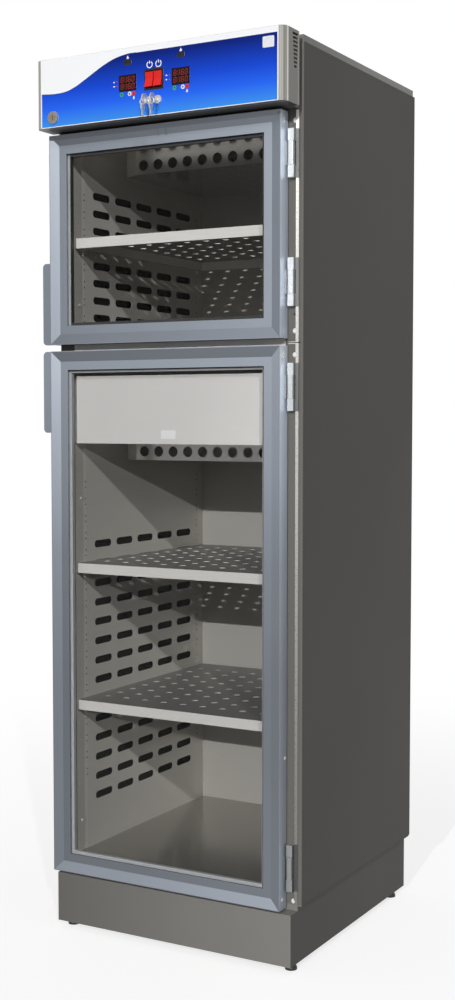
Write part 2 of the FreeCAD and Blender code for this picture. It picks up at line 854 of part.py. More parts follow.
def air_duct(ceiling):
    """Return air box under a chamber's ceiling: round holes in front, fine perforation below."""
    half = "(duct_width / 2)"
    nose = "(duct_width / 2 - duct_nose)"
    rear = "(duct_front + duct_depth)"
    body = new_body()
    outline = Drawing(body, "XY_Plane", f"{ceiling} - duct_height").outline([
        (f"-{nose}", "duct_front"), (nose, "duct_front"), (half, "duct_front + duct_nose_depth"),
        (half, rear), (f"-{half}", rear), (f"-{half}", "duct_front + duct_nose_depth"),
    ])
    extend(body, outline, "duct_height")
    hollowed(body, faces_at(body, "z", ceiling), "duct_skin")
    first = "-duct_hole_pitch * (duct_hole_count - 1) / 2"
    span = "duct_hole_pitch * (duct_hole_count - 1)"
    port = Drawing(body, "XZ_Plane", "duct_front").circle(
        first, f"{ceiling} - duct_height / 2", "duct_hole_radius")
    repeat(body, carve(body, port, "duct_skin"), "duct_hole_count", span)
    vent = Drawing(body, "XY_Plane", f"{ceiling} - duct_height").circle(
        first, "duct_front + duct_vent_pitch", "duct_vent_radius")
    repeat(body, carve(body, vent, "duct_skin"), "duct_hole_count", span,
           "duct_vent_rows", "duct_vent_pitch * (duct_vent_rows - 1)")
    return body


def blower(base):
    """Blower case with its inlet below and an outlet on each side, and the motor on top of it."""
    half = "(blower_width / 2)"
    body = new_body()
    outline = Drawing(body, "XY_Plane", base).rectangle(
        f"-{half}", half, f"fan_y - {half}", f"fan_y + {half}")
    extend(body, outline, "blower_height")
    hollowed(body, faces_at(body, "z", base), "blower_skin")
    outlet = Drawing(body, "YZ_Plane", f"-{half}").rectangle(
        "fan_y - blower_outlet_width / 2", "fan_y + blower_outlet_width / 2",
        f"{base} + wheel_lift", f"{base} + wheel_lift + blower_outlet_height")
    carve(body, outlet, "blower_width")
    hole = Drawing(body, "XY_Plane", f"{base} + blower_height - blower_skin").circle(
        "0", "fan_y", "shaft_hole_radius")
    carve(body, hole, "blower_skin")
    motor = rod("0", "fan_y", f"{base} + blower_height", "motor_radius", "motor_height")
    bore = rod("0", "fan_y", f"{base} + blower_height", "shaft_radius + shaft_clearance", "motor_bore_depth")
    return [body, cut(motor, bore)]


def fan_wheel(label, base):
    """Drum of straight blades between a back plate and a rim ring, on the motor's shaft."""
    low = f"{base} + wheel_lift"
    body = new_body()
    bind(body, "Placement.Base.y", f"fan_y - {CENTRE_Y}")
    plate = Drawing(body, "XY_Plane", f"{low} + wheel_height - wheel_plate").circle("0", "0", "wheel_radius")
    extend(body, plate, "wheel_plate")
    blade = Drawing(body, "XY_Plane", low).rectangle(
        "wheel_radius - blade_length", "wheel_radius - wheel_rim / 4",
        "-blade_thickness / 2", "blade_thickness / 2")
    first_blade = extend(body, blade, "wheel_height - wheel_plate")
    pattern = body.newObject("PartDesign::PolarPattern", "Blades")
    pattern.Originals = [first_blade]
    pattern.Axis = (blade.sketch, ["N_Axis"])
    pattern.Occurrences = round(value("blade_count"))
    body.Tip = pattern
    doc.recompute()
    ring = Drawing(body, "XY_Plane", low).circle("0", "0", "wheel_radius")
    extend(body, ring.circle("0", "0", "wheel_radius - wheel_rim"), "wheel_plate")
    shaft = Drawing(body, "XY_Plane", low).circle("0", "0", "shaft_radius")
    extend(body, shaft, f"({base} + blower_height + motor_bore_depth - shaft_radius) - ({low})")
    return keep(label, body)


def air_heater(base):
    """Round heating element about the wheel, held by its two terminals under the blower case's top."""
    ring = doc.addObject("Part::Torus", "Element")
    bind(ring, "Radius1", "heater_radius")
    bind(ring, "Radius2", "heater_tube_radius")
    middle = f"{base} + blower_height / 2"
    place(ring, "0", "fan_y", middle)
    length = "blower_height / 2 - blower_skin"
    posts = [
        rod("0", f"fan_y {side} heater_radius", middle, "heater_terminal_radius", length) for side in "-+"
    ]
    return fused([ring] + posts)


# --- Control header ---------------------------------------------------------------------------------

def button_places():
    """Sketch places of the three keys under each display."""
    z = "display_z - display_height / 2 - button_drop"
    for side, display in (("left", "-display_x"), ("right", "display_x")):
        for key, offset in (("set", "- button_left"), ("down", "+ button_middle"), ("up", "+ button_right")):
            yield f"{side}_{key}_button", f"{display} {offset}", z


def panel_cutouts(drawing):
    """Openings that the header's front and the overlay share."""
    for side in ("-", ""):
        drawing.rectangle(
            f"{side}display_x - display_width / 2 - panel_gap",
            f"{side}display_x + display_width / 2 + panel_gap",
            "display_z - display_height / 2 - panel_gap", "display_z + display_height / 2 + panel_gap")
        drawing.rectangle(
            f"{side}usb_x - usb_width / 2 - panel_gap", f"{side}usb_x + usb_width / 2 + panel_gap",
            "usb_z - usb_height / 2 - panel_gap", "usb_z + usb_height / 2 + panel_gap")
        drawing.circle(f"{side}key_x", "key_z", "key_body_radius")
    half = "(rocker_x + rocker_width / 2 + rocker_gap + bezel_wall + panel_gap)"
    rise = "(rocker_height / 2 + rocker_end_gap + bezel_wall + panel_gap)"
    drawing.rectangle(f"-{half}", half, f"rocker_z - {rise}", f"rocker_z + {rise}")
    for _, x, z in button_places():
        drawing.circle(x, z, "button_radius + button_gap")
    drawing.circle("-lock_x", "lock_z", "lock_body_radius")
    return drawing


def control_housing():
    """Header with rounded front corners, stepped in and open behind, and vents that shorten downwards."""
    body = new_body()
    front = "(-header_reach + overlay_thickness)"
    neck = f"({HEADER} - header_step)"
    outline = Drawing(body, "XY_Plane", "header_bottom").outline([
        (f"-{HEADER}", front), (HEADER, front),
        (HEADER, "-header_step_depth"), (neck, "-header_step_depth"), (neck, "0"),
        (f"-{neck}", "0"), (f"-{neck}", "-header_step_depth"), (f"-{HEADER}", "-header_step_depth"),
    ])
    extend(body, outline, "cover_top - header_bottom")
    rounded(body, upright_edges(body, HEADER, front), "header_radius")
    hollowed(body, faces_at(body, "y", "0"), "header_skin")
    vents = Drawing(body, "YZ_Plane", f"-{HEADER}")
    for index in range(round(value("vent_count"))):
        half = f"(vent_length - {index} * vent_taper) / 2"
        z = f"(vent_first - {index} * vent_pitch)"
        vents.rectangle(f"-vent_y - {half}", f"-vent_y + {half}",
                        f"{z} - vent_height / 2", f"{z} + vent_height / 2")
    carve(body, vents, f"2 * {HEADER}")
    carve(body, panel_cutouts(Drawing(body, "XZ_Plane", front)), "header_skin")
    return keep("control_housing", body)


def control_overlay():
    body = new_body()
    outline = Drawing(body, "XZ_Plane", PANEL).rectangle(
        f"-{OVERLAY}", OVERLAY, "header_bottom + overlay_margin", "cover_top - overlay_margin")
    extend(body, outline, "overlay_thickness")
    rounded(body, edges_along(body, "y", lambda end: True), "overlay_radius")
    carve(body, panel_cutouts(Drawing(body, "XZ_Plane", PANEL)), "overlay_thickness")
    return keep("control_overlay", body)


def flanged_module(x, z, width, height, rim, rim_depth, depth):
    """Body that drops into a panel cut-out, with a flange that seats on the overlay."""
    body = new_body()
    flange = Drawing(body, "XZ_Plane", f"{PANEL} - {rim_depth}").rectangle(
        f"{x} - {width} / 2 - {rim}", f"{x} + {width} / 2 + {rim}",
        f"{z} - {height} / 2 - {rim}", f"{z} + {height} / 2 + {rim}")
    extend(body, flange, rim_depth)
    core = Drawing(body, "XZ_Plane", PANEL).rectangle(
        f"{x} - {width} / 2", f"{x} + {width} / 2", f"{z} - {height} / 2", f"{z} + {height} / 2")
    extend(body, core, depth)
    return body


def display_modules():
    return group("display_modules", [
        flanged_module(x, "display_z", "display_width", "display_height", "display_rim", "display_rim",
                       "display_depth") for x in ("-display_x", "display_x")
    ])


def usb_ports():
    ports = []
    for x in ("-usb_x", "usb_x"):
        body = flanged_module(x, "usb_z", "usb_width", "usb_height", "usb_rim", "usb_rim", "usb_depth")
        recess = Drawing(body, "XZ_Plane", f"{PANEL} - usb_rim").rectangle(
            f"{x} - usb_width / 2 + usb_rim", f"{x} + usb_width / 2 - usb_rim",
            "usb_z - usb_height / 2 + usb_rim", "usb_z + usb_height / 2 - usb_rim")
        carve(body, recess, "usb_recess")
        ports.append(body)
    return group("usb_ports", ports)


def rocker_bezel():
    """Frame of the two power switches, with a bore along X for the rockers' pivots."""
    half = "(rocker_x + rocker_width / 2 + rocker_gap + bezel_wall)"
    rise = "(rocker_height / 2 + rocker_end_gap + bezel_wall)"
    body = new_body()
    flange = Drawing(body, "XZ_Plane", f"{PANEL} - bezel_thickness").rectangle(
        f"-{half} - bezel_rim", f"{half} + bezel_rim", f"rocker_z - {rise} - bezel_rim",
        f"rocker_z + {rise} + bezel_rim")
    extend(body, flange, "bezel_thickness")
    core = Drawing(body, "XZ_Plane", PANEL).rectangle(
        f"-{half}", half, f"rocker_z - {rise}", f"rocker_z + {rise}")
    extend(body, core, "bezel_depth")
    wells = Drawing(body, "XZ_Plane", f"{PANEL} - bezel_thickness")
    for x in ("-rocker_x", "rocker_x"):
        wells.rectangle(f"{x} - rocker_width / 2 - rocker_gap", f"{x} + rocker_width / 2 + rocker_gap",
                        "rocker_z - rocker_height / 2 - rocker_end_gap",
                        "rocker_z + rocker_height / 2 + rocker_end_gap")
    carve(body, wells, "bezel_thickness + bezel_depth - bezel_wall")
    pivot = Drawing(body, "YZ_Plane", f"-{half}").circle(
        f"{PANEL} + rocker_pivot_depth", "rocker_z", "rocker_pin_radius + pin_clearance")
    carve(body, pivot, f"2 * {half}")
    return keep("rocker_bezel", body)


def rocker(label, x):
    """Switch rocker drawn with its lower half proud, on two short pivots."""
    face = f"({PANEL} - bezel_thickness - rocker_lift)"
    proud = f"({face} - rocker_height / 2 * tan(rocker_throw))"
    keel = f"({PANEL} + rocker_depth)"
    low, high = "(rocker_z - rocker_height / 2)", "(rocker_z + rocker_height / 2)"
    body = new_body()
    profile = Drawing(body, "YZ_Plane", f"{x} - rocker_width / 2").outline([
        (face, high), (face, "rocker_z"), (proud, low), (f"{PANEL} + rocker_pivot_depth", low),
        (keel, "rocker_z - rocker_height / 6"), (keel, "rocker_z + rocker_height / 6"),
        (f"{PANEL} + rocker_pivot_depth", high),
    ])
    extend(body, profile, "rocker_width")
    pivots = Drawing(body, "YZ_Plane", f"{x} - rocker_width / 2 - rocker_pin_reach").circle(
        f"{PANEL} + rocker_pivot_depth", "rocker_z", "rocker_pin_radius")
    extend(body, pivots, "rocker_width + 2 * rocker_pin_reach")
    return keep(label, body)


def button(label, x, z):
    return keep(label, rod(x, f"{PANEL} - button_proud", z, "button_radius", "button_depth", "Y"))


def lock_barrel(x, z, flange_radius, body_radius, plug_radius, proud, depth):
    flange = rod(x, f"{PANEL} - {proud}", z, flange_radius, proud, "Y")
    core = rod(x, PANEL, z, body_radius, depth, "Y")
    bore = rod(x, f"{PANEL} - {proud}", z, f"{plug_radius} + lock_clearance", f"{proud} + {depth}", "Y")
    return cut(fused([flange, core]), bore)


def lock_barrels():
    barrels = [
        lock_barrel(x, "key_z", "key_barrel_radius", "key_body_radius", "key_plug_radius", "key_proud",
                    "key_body_depth") for x in ("-key_x", "key_x")
    ]
    barrels.append(lock_barrel("-lock_x", "lock_z", "lock_radius", "lock_body_radius", "lock_plug_radius",
                               "lock_proud", "lock_depth"))
    return group("lock_barrels", barrels)


def panel_lock_plug():
    """Quarter-turn plug with its keyway in front and its cam behind the barrel."""
    plug = rod("-lock_x", f"{PANEL} - lock_proud", "lock_z", "lock_plug_radius",
               "lock_proud + lock_depth", "Y")
    cam = slab("-lock_x - lock_cam_length", "-lock_x + lock_cam_width / 2", f"{PANEL} + lock_depth",
               f"{PANEL} + lock_depth + lock_cam_thickness", "lock_z - lock_cam_width / 2",
               "lock_z + lock_cam_width / 2")
    keyway = slab("-lock_x - keyway_width / 2", "-lock_x + keyway_width / 2", f"{PANEL} - lock_proud",
                  f"{PANEL} - lock_proud + keyway_depth", "lock_z - keyway_length / 2",
                  "lock_z + keyway_length / 2")
    return keep("panel_lock_plug", cut(fused([plug, cam]), keyway))


def switch_key(label, x):
    """Key standing in its switch plug: the plug, a neck and an upright round bow with a ring hole."""
    low = f"{x} - key_thickness / 2"
    face = f"({PANEL} - key_proud)"
    plug = rod(x, face, "key_z", "key_plug_radius", "key_proud + key_body_depth", "Y")
    neck = slab(low, f"{x} + key_thickness / 2", f"{face} - key_neck", face,
                "key_z - key_neck_height / 2", "key_z + key_neck_height / 2")
    bow = rod(low, f"key_bow_radius - {KEY_FRONT}", "key_z", "key_bow_radius", "key_thickness", "X")
    hole = rod(low, KEY_HOLE_Y, "key_z", "key_hole_radius", "key_thickness", "X")
    return keep(label, cut(fused([plug, neck, bow]), hole))


def spare_key(label, x):
    """Split ring resting in the switch key's hole; the spare key on it hangs just clear of the door."""
    ring = doc.addObject("Part::Torus", "Ring")
    bind(ring, "Radius1", "ring_radius")
    bind(ring, "Radius2", "ring_wire_radius")
    ring_z = f"(key_z - {RING_SEAT} - ring_radius)"
    place(ring, x, KEY_HOLE_Y, ring_z, "Y")
    low = f"{x} - key_thickness / 2"
    hole_z = f"({ring_z} - ring_radius - {RING_SEAT})"
    bow_z = f"({hole_z} + key_hole_radius + key_hole_margin - spare_bow_radius)"
    bow = rod(low, KEY_HOLE_Y, bow_z, "spare_bow_radius", "key_thickness", "X")
    blade = slab(low, f"{x} + key_thickness / 2", f"{KEY_HOLE_Y} - spare_blade_width / 2",
                 f"{KEY_HOLE_Y} + spare_blade_width / 2", "upper_door_top + spare_blade_clearance", bow_z)
    hole = rod(low, KEY_HOLE_Y, hole_z, "key_hole_radius", "key_thickness", "X")
    return group(label, [ring, cut(fused([bow, blade]), hole)])


def control_board():
    """Circuit board on four standoffs in front of the head rail."""
    low, high = "board_z - board_height / 2", "board_z + board_height / 2"
    pieces = [slab("-board_width / 2", "board_width / 2",
                   "-board_standoff - board_thickness", "-board_standoff", low, high)]
    for sign in ("-", ""):
        for z in (f"{low} + standoff_inset", f"{high} - standoff_inset"):
            x = f"{sign}(board_width / 2 - standoff_inset)"
            pieces.append(rod(x, "-board_standoff", z, "standoff_radius", "board_standoff", "Y"))
    return keep("control_board", fused(pieces))


def cord_gland():
    """Bush that the mains cord leaves through, clamped on the rear panel by its outer nut."""
    inner = "(cab_depth - 2 * skin - gland_inside)"
    nut_low = "(cab_depth - skin)"
    length = f"(cab_depth + gland_reach - {inner})"
    sleeve = rod("gland_x", inner, "gland_z", "gland_radius", length, "Y")
    nut = rod("gland_x", nut_low, "gland_z", "gland_nut_radius", "gland_nut_depth", "Y")
    bore = rod("gland_x", inner, "gland_z", "gland_bore_radius", length, "Y")
    return keep("cord_gland", cut(fused([sleeve, nut]), bore))


# --- Doors and hinges -------------------------------------------------------------------------------

def frame_rail(side, left, right, low, high):
    """One mitred rail of a door frame: rim, bevel falling to a flat, and a lip over the glass rebate."""
    lengthwise_x = side in ("top", "bottom")
    outer, sign = {"left": (left, "+"), "right": (right, "-"), "bottom": (low, "+"), "top": (high, "-")}[side]

    def inward(distance):
        return f"({outer}) {sign} ({distance})"

    inner = inward("rail_width")
    if lengthwise_x:
        corners = [(left, outer), (right, outer),
                   (f"({right}) - rail_width", inner), (f"({left}) + rail_width", inner)]
        plane, start = "YZ_Plane", left
        run = f"({right}) - ({left})"
    else:
        corners = [(outer, low), (outer, high),
                   (inner, f"({high}) - rail_width"), (inner, f"({low}) + rail_width")]
        plane, start = "XY_Plane", low
        run = f"({high}) - ({low})"
    body = new_body()
    extend(body, Drawing(body, "XZ_Plane", "-door_front").outline(corners), "door_front - door_back")
    rebate = inward("rail_width - glass_rebate")
    bevel = [("-door_front", inward("rim_land")), ("-door_flat", inward("bevel_width")),
             ("-door_flat", inner), ("-door_front", inner)]
    recess = [("-door_flat + lip_thickness", rebate), ("-door_flat + lip_thickness", inner),
              ("-door_back", inner), ("-door_back", rebate)]
    for loop in (bevel, recess):
        points = loop if lengthwise_x else [(across, depth) for depth, across in loop]
        carve(body, Drawing(body, plane, start).outline(points), run)
    return body


def door(name, low, high, pull_low, hinge_places):
    left, right = "-door_left", "door_right"
    group(f"{name}_door_frame", [
        frame_rail(side, left, right, low, high) for side in ("left", "right", "top", "bottom")
    ])
    edge = "(rail_width - glass_rebate + glass_edge_gap)"
    pane = (f"{left} + {edge}", f"{right} - {edge}")
    pane_z = (f"{low} + {edge}", f"{high} - {edge}")
    front = "(-door_flat + lip_thickness)"
    rear = f"({front} + pane_thickness + pane_spacing)"
    group(f"{name}_door_glass", [
        slab(*pane, y, f"{y} + pane_thickness", *pane_z) for y in (front, rear)
    ])
    spacer = new_body()
    ring = Drawing(spacer, "XZ_Plane", f"{front} + pane_thickness").rectangle(*pane, *pane_z)
    ring.rectangle(f"{pane[0]} + spacer_width", f"{pane[1]} - spacer_width",
                   f"{pane_z[0]} + spacer_width", f"{pane_z[1]} - spacer_width")
    extend(spacer, ring, "pane_spacing")
    keep(f"{name}_door_spacer", spacer)
    gasket = new_body()
    outer = [f"{left} + gasket_inset", f"{right} - gasket_inset",
             f"{low} + gasket_inset", f"{high} - gasket_inset"]
    band = Drawing(gasket, "XZ_Plane", "-door_back").rectangle(*outer)
    band.rectangle(f"{outer[0]} + gasket_width", f"{outer[1]} - gasket_width",
                   f"{outer[2]} + gasket_width", f"{outer[3]} - gasket_width")
    extend(gasket, band, "door_back")
    keep(f"{name}_door_gasket", gasket)
    door_pull(name, pull_low)
    group(f"{name}_door_hinge_leaves", [door_hinge_leaf(z) for z in hinge_places])


def door_pull(name, low):
    """Flat pull strip along the door's opening edge, rounded at its two outer corners."""
    body = new_body()
    plate = Drawing(body, "XZ_Plane", "-pull_front").rectangle(
        "-door_left - pull_reach", "-door_left", low, f"{low} + pull_length")
    extend(body, plate, "pull_thickness")
    outer = edges_along(body, "y", lambda end: near(end.x, "-door_left - pull_reach"))
    rounded(body, outer, "pull_radius")
    return keep(f"{name}_door_pull", body)


def door_hinge_leaf(z):
    """Leaf on the edge of the door, with the middle knuckle: round behind, squared in front."""
    low, high = f"({z}) - door_knuckle_height / 2", f"({z}) + door_knuckle_height / 2"
    flat = "(knuckle_radius - knuckle_corner)"
    pieces = [
        slab("door_right", "door_right + door_leaf_thickness",
             "-door_leaf_front", "-door_leaf_back", low, high),
        slab("door_right + door_leaf_thickness", "pin_x", "-pin_y", "-door_leaf_back", low, high),
        rod("pin_x", "-pin_y", low, "knuckle_radius", "door_knuckle_height"),
        slab("pin_x - knuckle_radius", "pin_x + knuckle_radius", f"-pin_y - {flat}", "-pin_y", low, high),
        slab(f"pin_x - {flat}", f"pin_x + {flat}", "-pin_y - knuckle_radius", "-pin_y", low, high),
    ]
    for sign in "-+":
        corner_x = f"pin_x {sign} {flat}"
        pieces.append(rod(corner_x, f"-pin_y - {flat}", low, "knuckle_corner", "door_knuckle_height"))
    bore = rod("pin_x", "-pin_y", low, "pin_radius + pin_clearance", "door_knuckle_height")
    return cut(fused(pieces), bore)


def hinge_frame_halves(places):
    """Leaf on the carcass with the upper and lower knuckles, and its pin."""
    pieces = []
    for z in places:
        low, high = f"({z}) - hinge_height / 2", f"({z}) + hinge_height / 2"
        middle = "(door_knuckle_height / 2 + knuckle_gap)"
        x_low, x_high = "pin_x - frame_knuckle_width / 2", "pin_x + frame_knuckle_width / 2"
        leaf = slab(x_high, "frame_leaf_edge", "-frame_leaf_thickness", "0", low, high)
        knuckles = [
            slab(x_low, x_high, "-frame_knuckle_depth", "0", low, f"({z}) - {middle}"),
            slab(x_low, x_high, "-frame_knuckle_depth", "0", f"({z}) + {middle}", high),
        ]
        bore = rod("pin_x", "-pin_y", low, "pin_radius", "hinge_height")
        pieces.append(cut(fused([leaf] + knuckles), bore))
        pieces.append(rod("pin_x", "-pin_y", low, "pin_radius", "hinge_height"))
    return group("hinge_frame_halves", pieces)


def plug_buttons():
    """Domed caps that close spare hinge holes in the hinge-side flange."""
    caps = []
    for z in ("upper_door_top - plug_drop", "upper_door_bottom + upper_plug_share * upper_hinge_gap",
              "lower_door_top - plug_drop", "lower_door_bottom + plug_rise"):
        caps.append(cone("plug_x", "0", z, "plug_radius", "plug_radius - plug_dome", "plug_dome", "Y"))
        caps[-1].Placement.Rotation = FreeCAD.Rotation(FreeCAD.Vector(1, 0, 0), 90)
    return group("plug_buttons", caps)


def build():
    side_panel("side_panel_left", "-")
    side_panel("side_panel_right", "")
    rear_panel()
    top_cover()
    bottom_pan()
    head_rail()
    centre_panel()
    sill_rail()
    plinth()
    levelling_feet()
    chamber_liner("upper", "upper_floor", "upper_ceiling",
                  ("upper_slot_first", "upper_slot_pitch", "upper_slot_rows"),
                  ("upper_pilaster_first", "upper_pilaster_rows"))
    chamber_liner("lower", "lower_floor", "lower_ceiling",
                  ("lower_slot_first", "lower_slot_pitch", "lower_slot_rows"),
                  ("lower_pilaster_first", "lower_pilaster_rows"))
    insulation()
    for name in ("upper", "middle", "lower"):
        shelf(f"{name}_shelf", f"{name}_shelf_top")
    shelf_clips()
    group("air_ducts", [air_duct("upper_ceiling"), air_duct("lower_ceiling")])
    bases = {"upper": "(upper_ceiling + liner)", "lower": "(lower_ceiling + liner)"}
    group("blowers", blower(bases["upper"]) + blower(bases["lower"]))
    group("air_heaters", [air_heater(base) for base in bases.values()])
    for name, base in bases.items():
        fan_wheel(f"{name}_fan_wheel", base)
    control_housing()
    control_overlay()
    display_modules()
    usb_ports()
    rocker_bezel()
    rocker("left_rocker", "-rocker_x")
    rocker("right_rocker", "rocker_x")
    for label, x, z in button_places():
        button(label, x, z)
    lock_barrels()
    panel_lock_plug()
    for side, x in (("left", "-key_x"), ("right", "key_x")):
        switch_key(f"{side}_key", x)
        spare_key(f"{side}_spare_key", x)
    control_board()
    cord_gland()
    upper_hinges = ["upper_door_top - hinge_drop", "upper_door_bottom + upper_hinge_gap + hinge_height / 2"]
    lower_hinges = ["lower_door_top - hinge_drop", "lower_door_bottom + lower_hinge_rise"]
    door("upper", "upper_door_bottom", "upper_door_top", "upper_door_bottom", upper_hinges)
    door("lower", "lower_door_bottom", "lower_door_top", "lower_door_top - pull_length", lower_hinges)
    hinge_frame_halves(upper_hinges + lower_hinges)
    plug_buttons()


def check_and_write():
    doc.recompute()
    for thing in doc.Objects:
        if "Invalid" in thing.State or "Error" in thing.State:
            raise RuntimeError(f"{thing.Name} ({thing.Label}) failed to build: {thing.State}")
    for label, thing in nodes.items():
        if thing.Shape.isNull() or not thing.Shape.isValid() or not thing.Shape.Solids:
            raise RuntimeError(f"{label} is not a valid solid")
    os.makedirs("parts", exist_ok=True)
    for label, thing in nodes.items():
        thing.Shape.exportStep(f"parts/{label}.step")
    print(len(nodes), "sub-parts written")


build()
check_and_write()
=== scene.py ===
"""Finishes, printed parts, small fastenings and studio for the blanket warming cabinet."""

import math

import bmesh
import bpy
from mathutils import Euler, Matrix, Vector


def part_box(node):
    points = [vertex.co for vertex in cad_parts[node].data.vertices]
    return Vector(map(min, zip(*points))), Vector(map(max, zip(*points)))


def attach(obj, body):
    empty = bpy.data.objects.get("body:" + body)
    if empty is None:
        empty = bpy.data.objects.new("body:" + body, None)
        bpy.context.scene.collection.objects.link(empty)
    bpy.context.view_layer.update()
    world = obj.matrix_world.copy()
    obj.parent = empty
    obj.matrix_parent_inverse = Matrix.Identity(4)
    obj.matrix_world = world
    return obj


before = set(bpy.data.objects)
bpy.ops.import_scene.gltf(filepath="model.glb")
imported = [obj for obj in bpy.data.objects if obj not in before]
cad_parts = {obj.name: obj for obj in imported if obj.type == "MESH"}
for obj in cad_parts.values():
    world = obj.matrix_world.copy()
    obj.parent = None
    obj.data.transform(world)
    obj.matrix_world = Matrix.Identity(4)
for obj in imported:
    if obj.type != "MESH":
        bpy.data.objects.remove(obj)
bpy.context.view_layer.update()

bl_info = {
    "name": "Blanket warming cabinet",
    "version": (1, 0, 0),
    "blender": (4, 5, 0),
    "location": "3D View > Sidebar > Warming cabinet",
    "description": "Gives the cabinet its finishes, prints, fastenings and studio",
    "category": "Object",
}


# ---- colours and places


def linear(hex_colour):
    """The linear RGB of an sRGB hex colour."""
    values = [int(hex_colour[i : i + 2], 16) / 255 for i in (1, 3, 5)]
    return tuple(v / 12.92 if v <= 0.04045 else ((v + 0.055) / 1.055) ** 2.4 for v in values)


def mm(*lengths):
    """Millimetres to metres: one number, or a tuple of them."""
    scaled = tuple(v / 1000 for v in lengths)
    return scaled[0] if len(scaled) == 1 else scaled


def front_of(node):
    """The Y of a node's foremost point."""
    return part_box(node)[0].y


# ---- properties


def colour(name, description, hex_colour):
    """A colour picker whose default is an sRGB hex colour."""
    return bpy.props.FloatVectorProperty(
        name=name,
        description=description,
        subtype="COLOR",
        size=3,
        min=0,
        max=1,
        default=linear(hex_colour),
    )


def length(name, description, millimetres):
    """A length whose default is in millimetres."""
    return bpy.props.FloatProperty(
        name=name,
        description=description,
        default=mm(millimetres),
        min=0,
        unit="LENGTH",
        subtype="DISTANCE",
        precision=5,
    )


def strength(name, description, default):
    """The strength of a light."""
    return bpy.props.FloatProperty(name=name, description=description, default=default, min=0)


class CabinetColours(bpy.types.PropertyGroup):
    """Colours of the cabinet's finishes"""

    # painted shade: the sides' charcoal stands in for the dark surroundings that their steel
    # reflects
    side_paint: colour("Side panels", "Powder coat on the side panels", "#53514e")
    face_paint: colour("Face and plinth", "Powder coat on rails and plinth", "#7a7874")
    cover_paint: colour("Top cover", "Powder coat on the top cover", "#7b7a77")
    # painted highlight: this near-white stands in for the highlight on the flange's bend and on
    # the seam's edges
    trim: colour("Edge trim", "Polished bead beside the hinges", "#fbf9f0")
    door_metal: colour("Door frames", "Anodised door rails and pulls", "#959ca6")
    centre_paint: colour("Centre panel", "Powder coat between the chambers", "#e7e5e2")
    stainless: colour("Liner", "Stainless sheet of the chambers", "#b5b2ac")
    shelf_metal: colour("Shelves", "Stainless sheet of the shelves", "#efede8")
    zinc: colour("Galvanised", "Zinc coat of blowers and hidden sheet", "#a7abad")
    nickel: colour("Nickel", "Plating of keys and locks", "#dedcd6")
    print_top: colour("Print, top", "Blue print at the overlay's top", "#04207c")
    print_bottom: colour("Print, bottom", "Blue print at the bottom", "#3d92f0")
    print_middle: colour("Print, middle", "Blue print halfway up", "#1448d4")
    print_line: colour("Print, line", "Navy line on the curve", "#0b1c63")
    digits: colour("Digits", "Lit segments of the displays", "#a02019")
    rocker: colour("Rockers", "Switch rockers", "#e2140f")


class CabinetSizes(bpy.types.PropertyGroup):
    """Sizes of the printed and small parts"""

    film: length("Film", "Thickness of a printed film", 0.08)
    margin: length("Print margin", "White edge round the blue print", 2.6)
    line: length("Curve line", "Width of the navy line", 1.1)
    digit_width: length("Digit width", "Width of a display digit", 5.6)
    digit_height: length("Digit height", "Height of a display digit", 10.5)
    digit_pitch: length("Digit pitch", "Spacing of the digits", 9.0)
    lamp: length("Status lamp", "Diameter of a status lamp", 2.6)
    power_mark: length("Power mark", "Diameter of the power mark", 13.0)
    screw: length("Screw head", "Diameter of a pan head", 7.0)
    bead_width: length("Bead width", "Width of the bead beside the hinges", 6.2)
    bead_rise: length("Bead rise", "Height of the bead above the flange", 2.0)


class StudioSettings(bpy.types.PropertyGroup):
    """Lamps of the studio"""

    sky: strength("Sky", "Strength of the even light", 0.31)
    key: strength("Front lamp", "Strength of the front lamp", 1.7)
    side: strength("Side lamp", "Strength of the side lamp", 0.8)


# ---- outlines


CORNER_STEPS = 5


def circle_points(x, z, radius, count=32):
    """Points of a circle in a plane parallel to the front."""
    turns = [2 * math.pi * i / count for i in range(count)]
    return [(x + radius * math.cos(t), z + radius * math.sin(t)) for t in turns]


def box_points(x, z, width, height, radius=0.0):
    """Points of a rectangle about (x, z), with square or round corners."""
    if not radius:
        w, h = width / 2, height / 2
        return [(x - w, z - h), (x + w, z - h), (x + w, z + h), (x - w, z + h)]
    points = []
    for quarter in range(4):
        side_x = 1 if quarter in (0, 3) else -1
        side_z = 1 if quarter in (0, 1) else -1
        corner_x = x + side_x * (width / 2 - radius)
        corner_z = z + side_z * (height / 2 - radius)
        for step in range(CORNER_STEPS + 1):
            turn = math.pi / 2 * (quarter + step / CORNER_STEPS)
            points.append((corner_x + radius * math.cos(turn), corner_z + radius * math.sin(turn)))
    return points


def through(points, steps=10):
    """A smooth open line through points."""
    line = []
    for i in range(len(points) - 1):
        before, start = points[max(i - 1, 0)], points[i]
        end, after = points[i + 1], points[min(i + 2, len(points) - 1)]
        for step in range(steps):
            t = step / steps
            spot = []
            for a, b, c, d in zip(before, start, end, after):
                slow = 2 * b + (c - a) * t + (2 * a - 5 * b + 4 * c - d) * t**2
                spot.append(0.5 * (slow + (3 * b - a - 3 * c + d) * t**3))
            line.append(tuple(spot))
    return line + [points[-1]]


def ribbon(line, width):
    """The closed outline of a line drawn with a pen of a given width."""
    left, right = [], []
    for i, point in enumerate(line):
        ahead = Vector(line[min(i + 1, len(line) - 1)])
        behind = Vector(line[max(i - 1, 0)])
        along = (ahead - behind).normalized()
        across = Vector((-along.y, along.x)) * width / 2
        left.append(tuple(Vector(point) + across))
        right.append(tuple(Vector(point) - across))
    return left + right[::-1]


def arc_line(x, z, radius, start, end, steps):
    """A line along an arc, with its ends in degrees."""
    turns = [math.radians(start + (end - start) * i / steps) for i in range(steps + 1)]
    return [(x + radius * math.cos(t), z + radius * math.sin(t)) for t in turns]


# ---- pieces


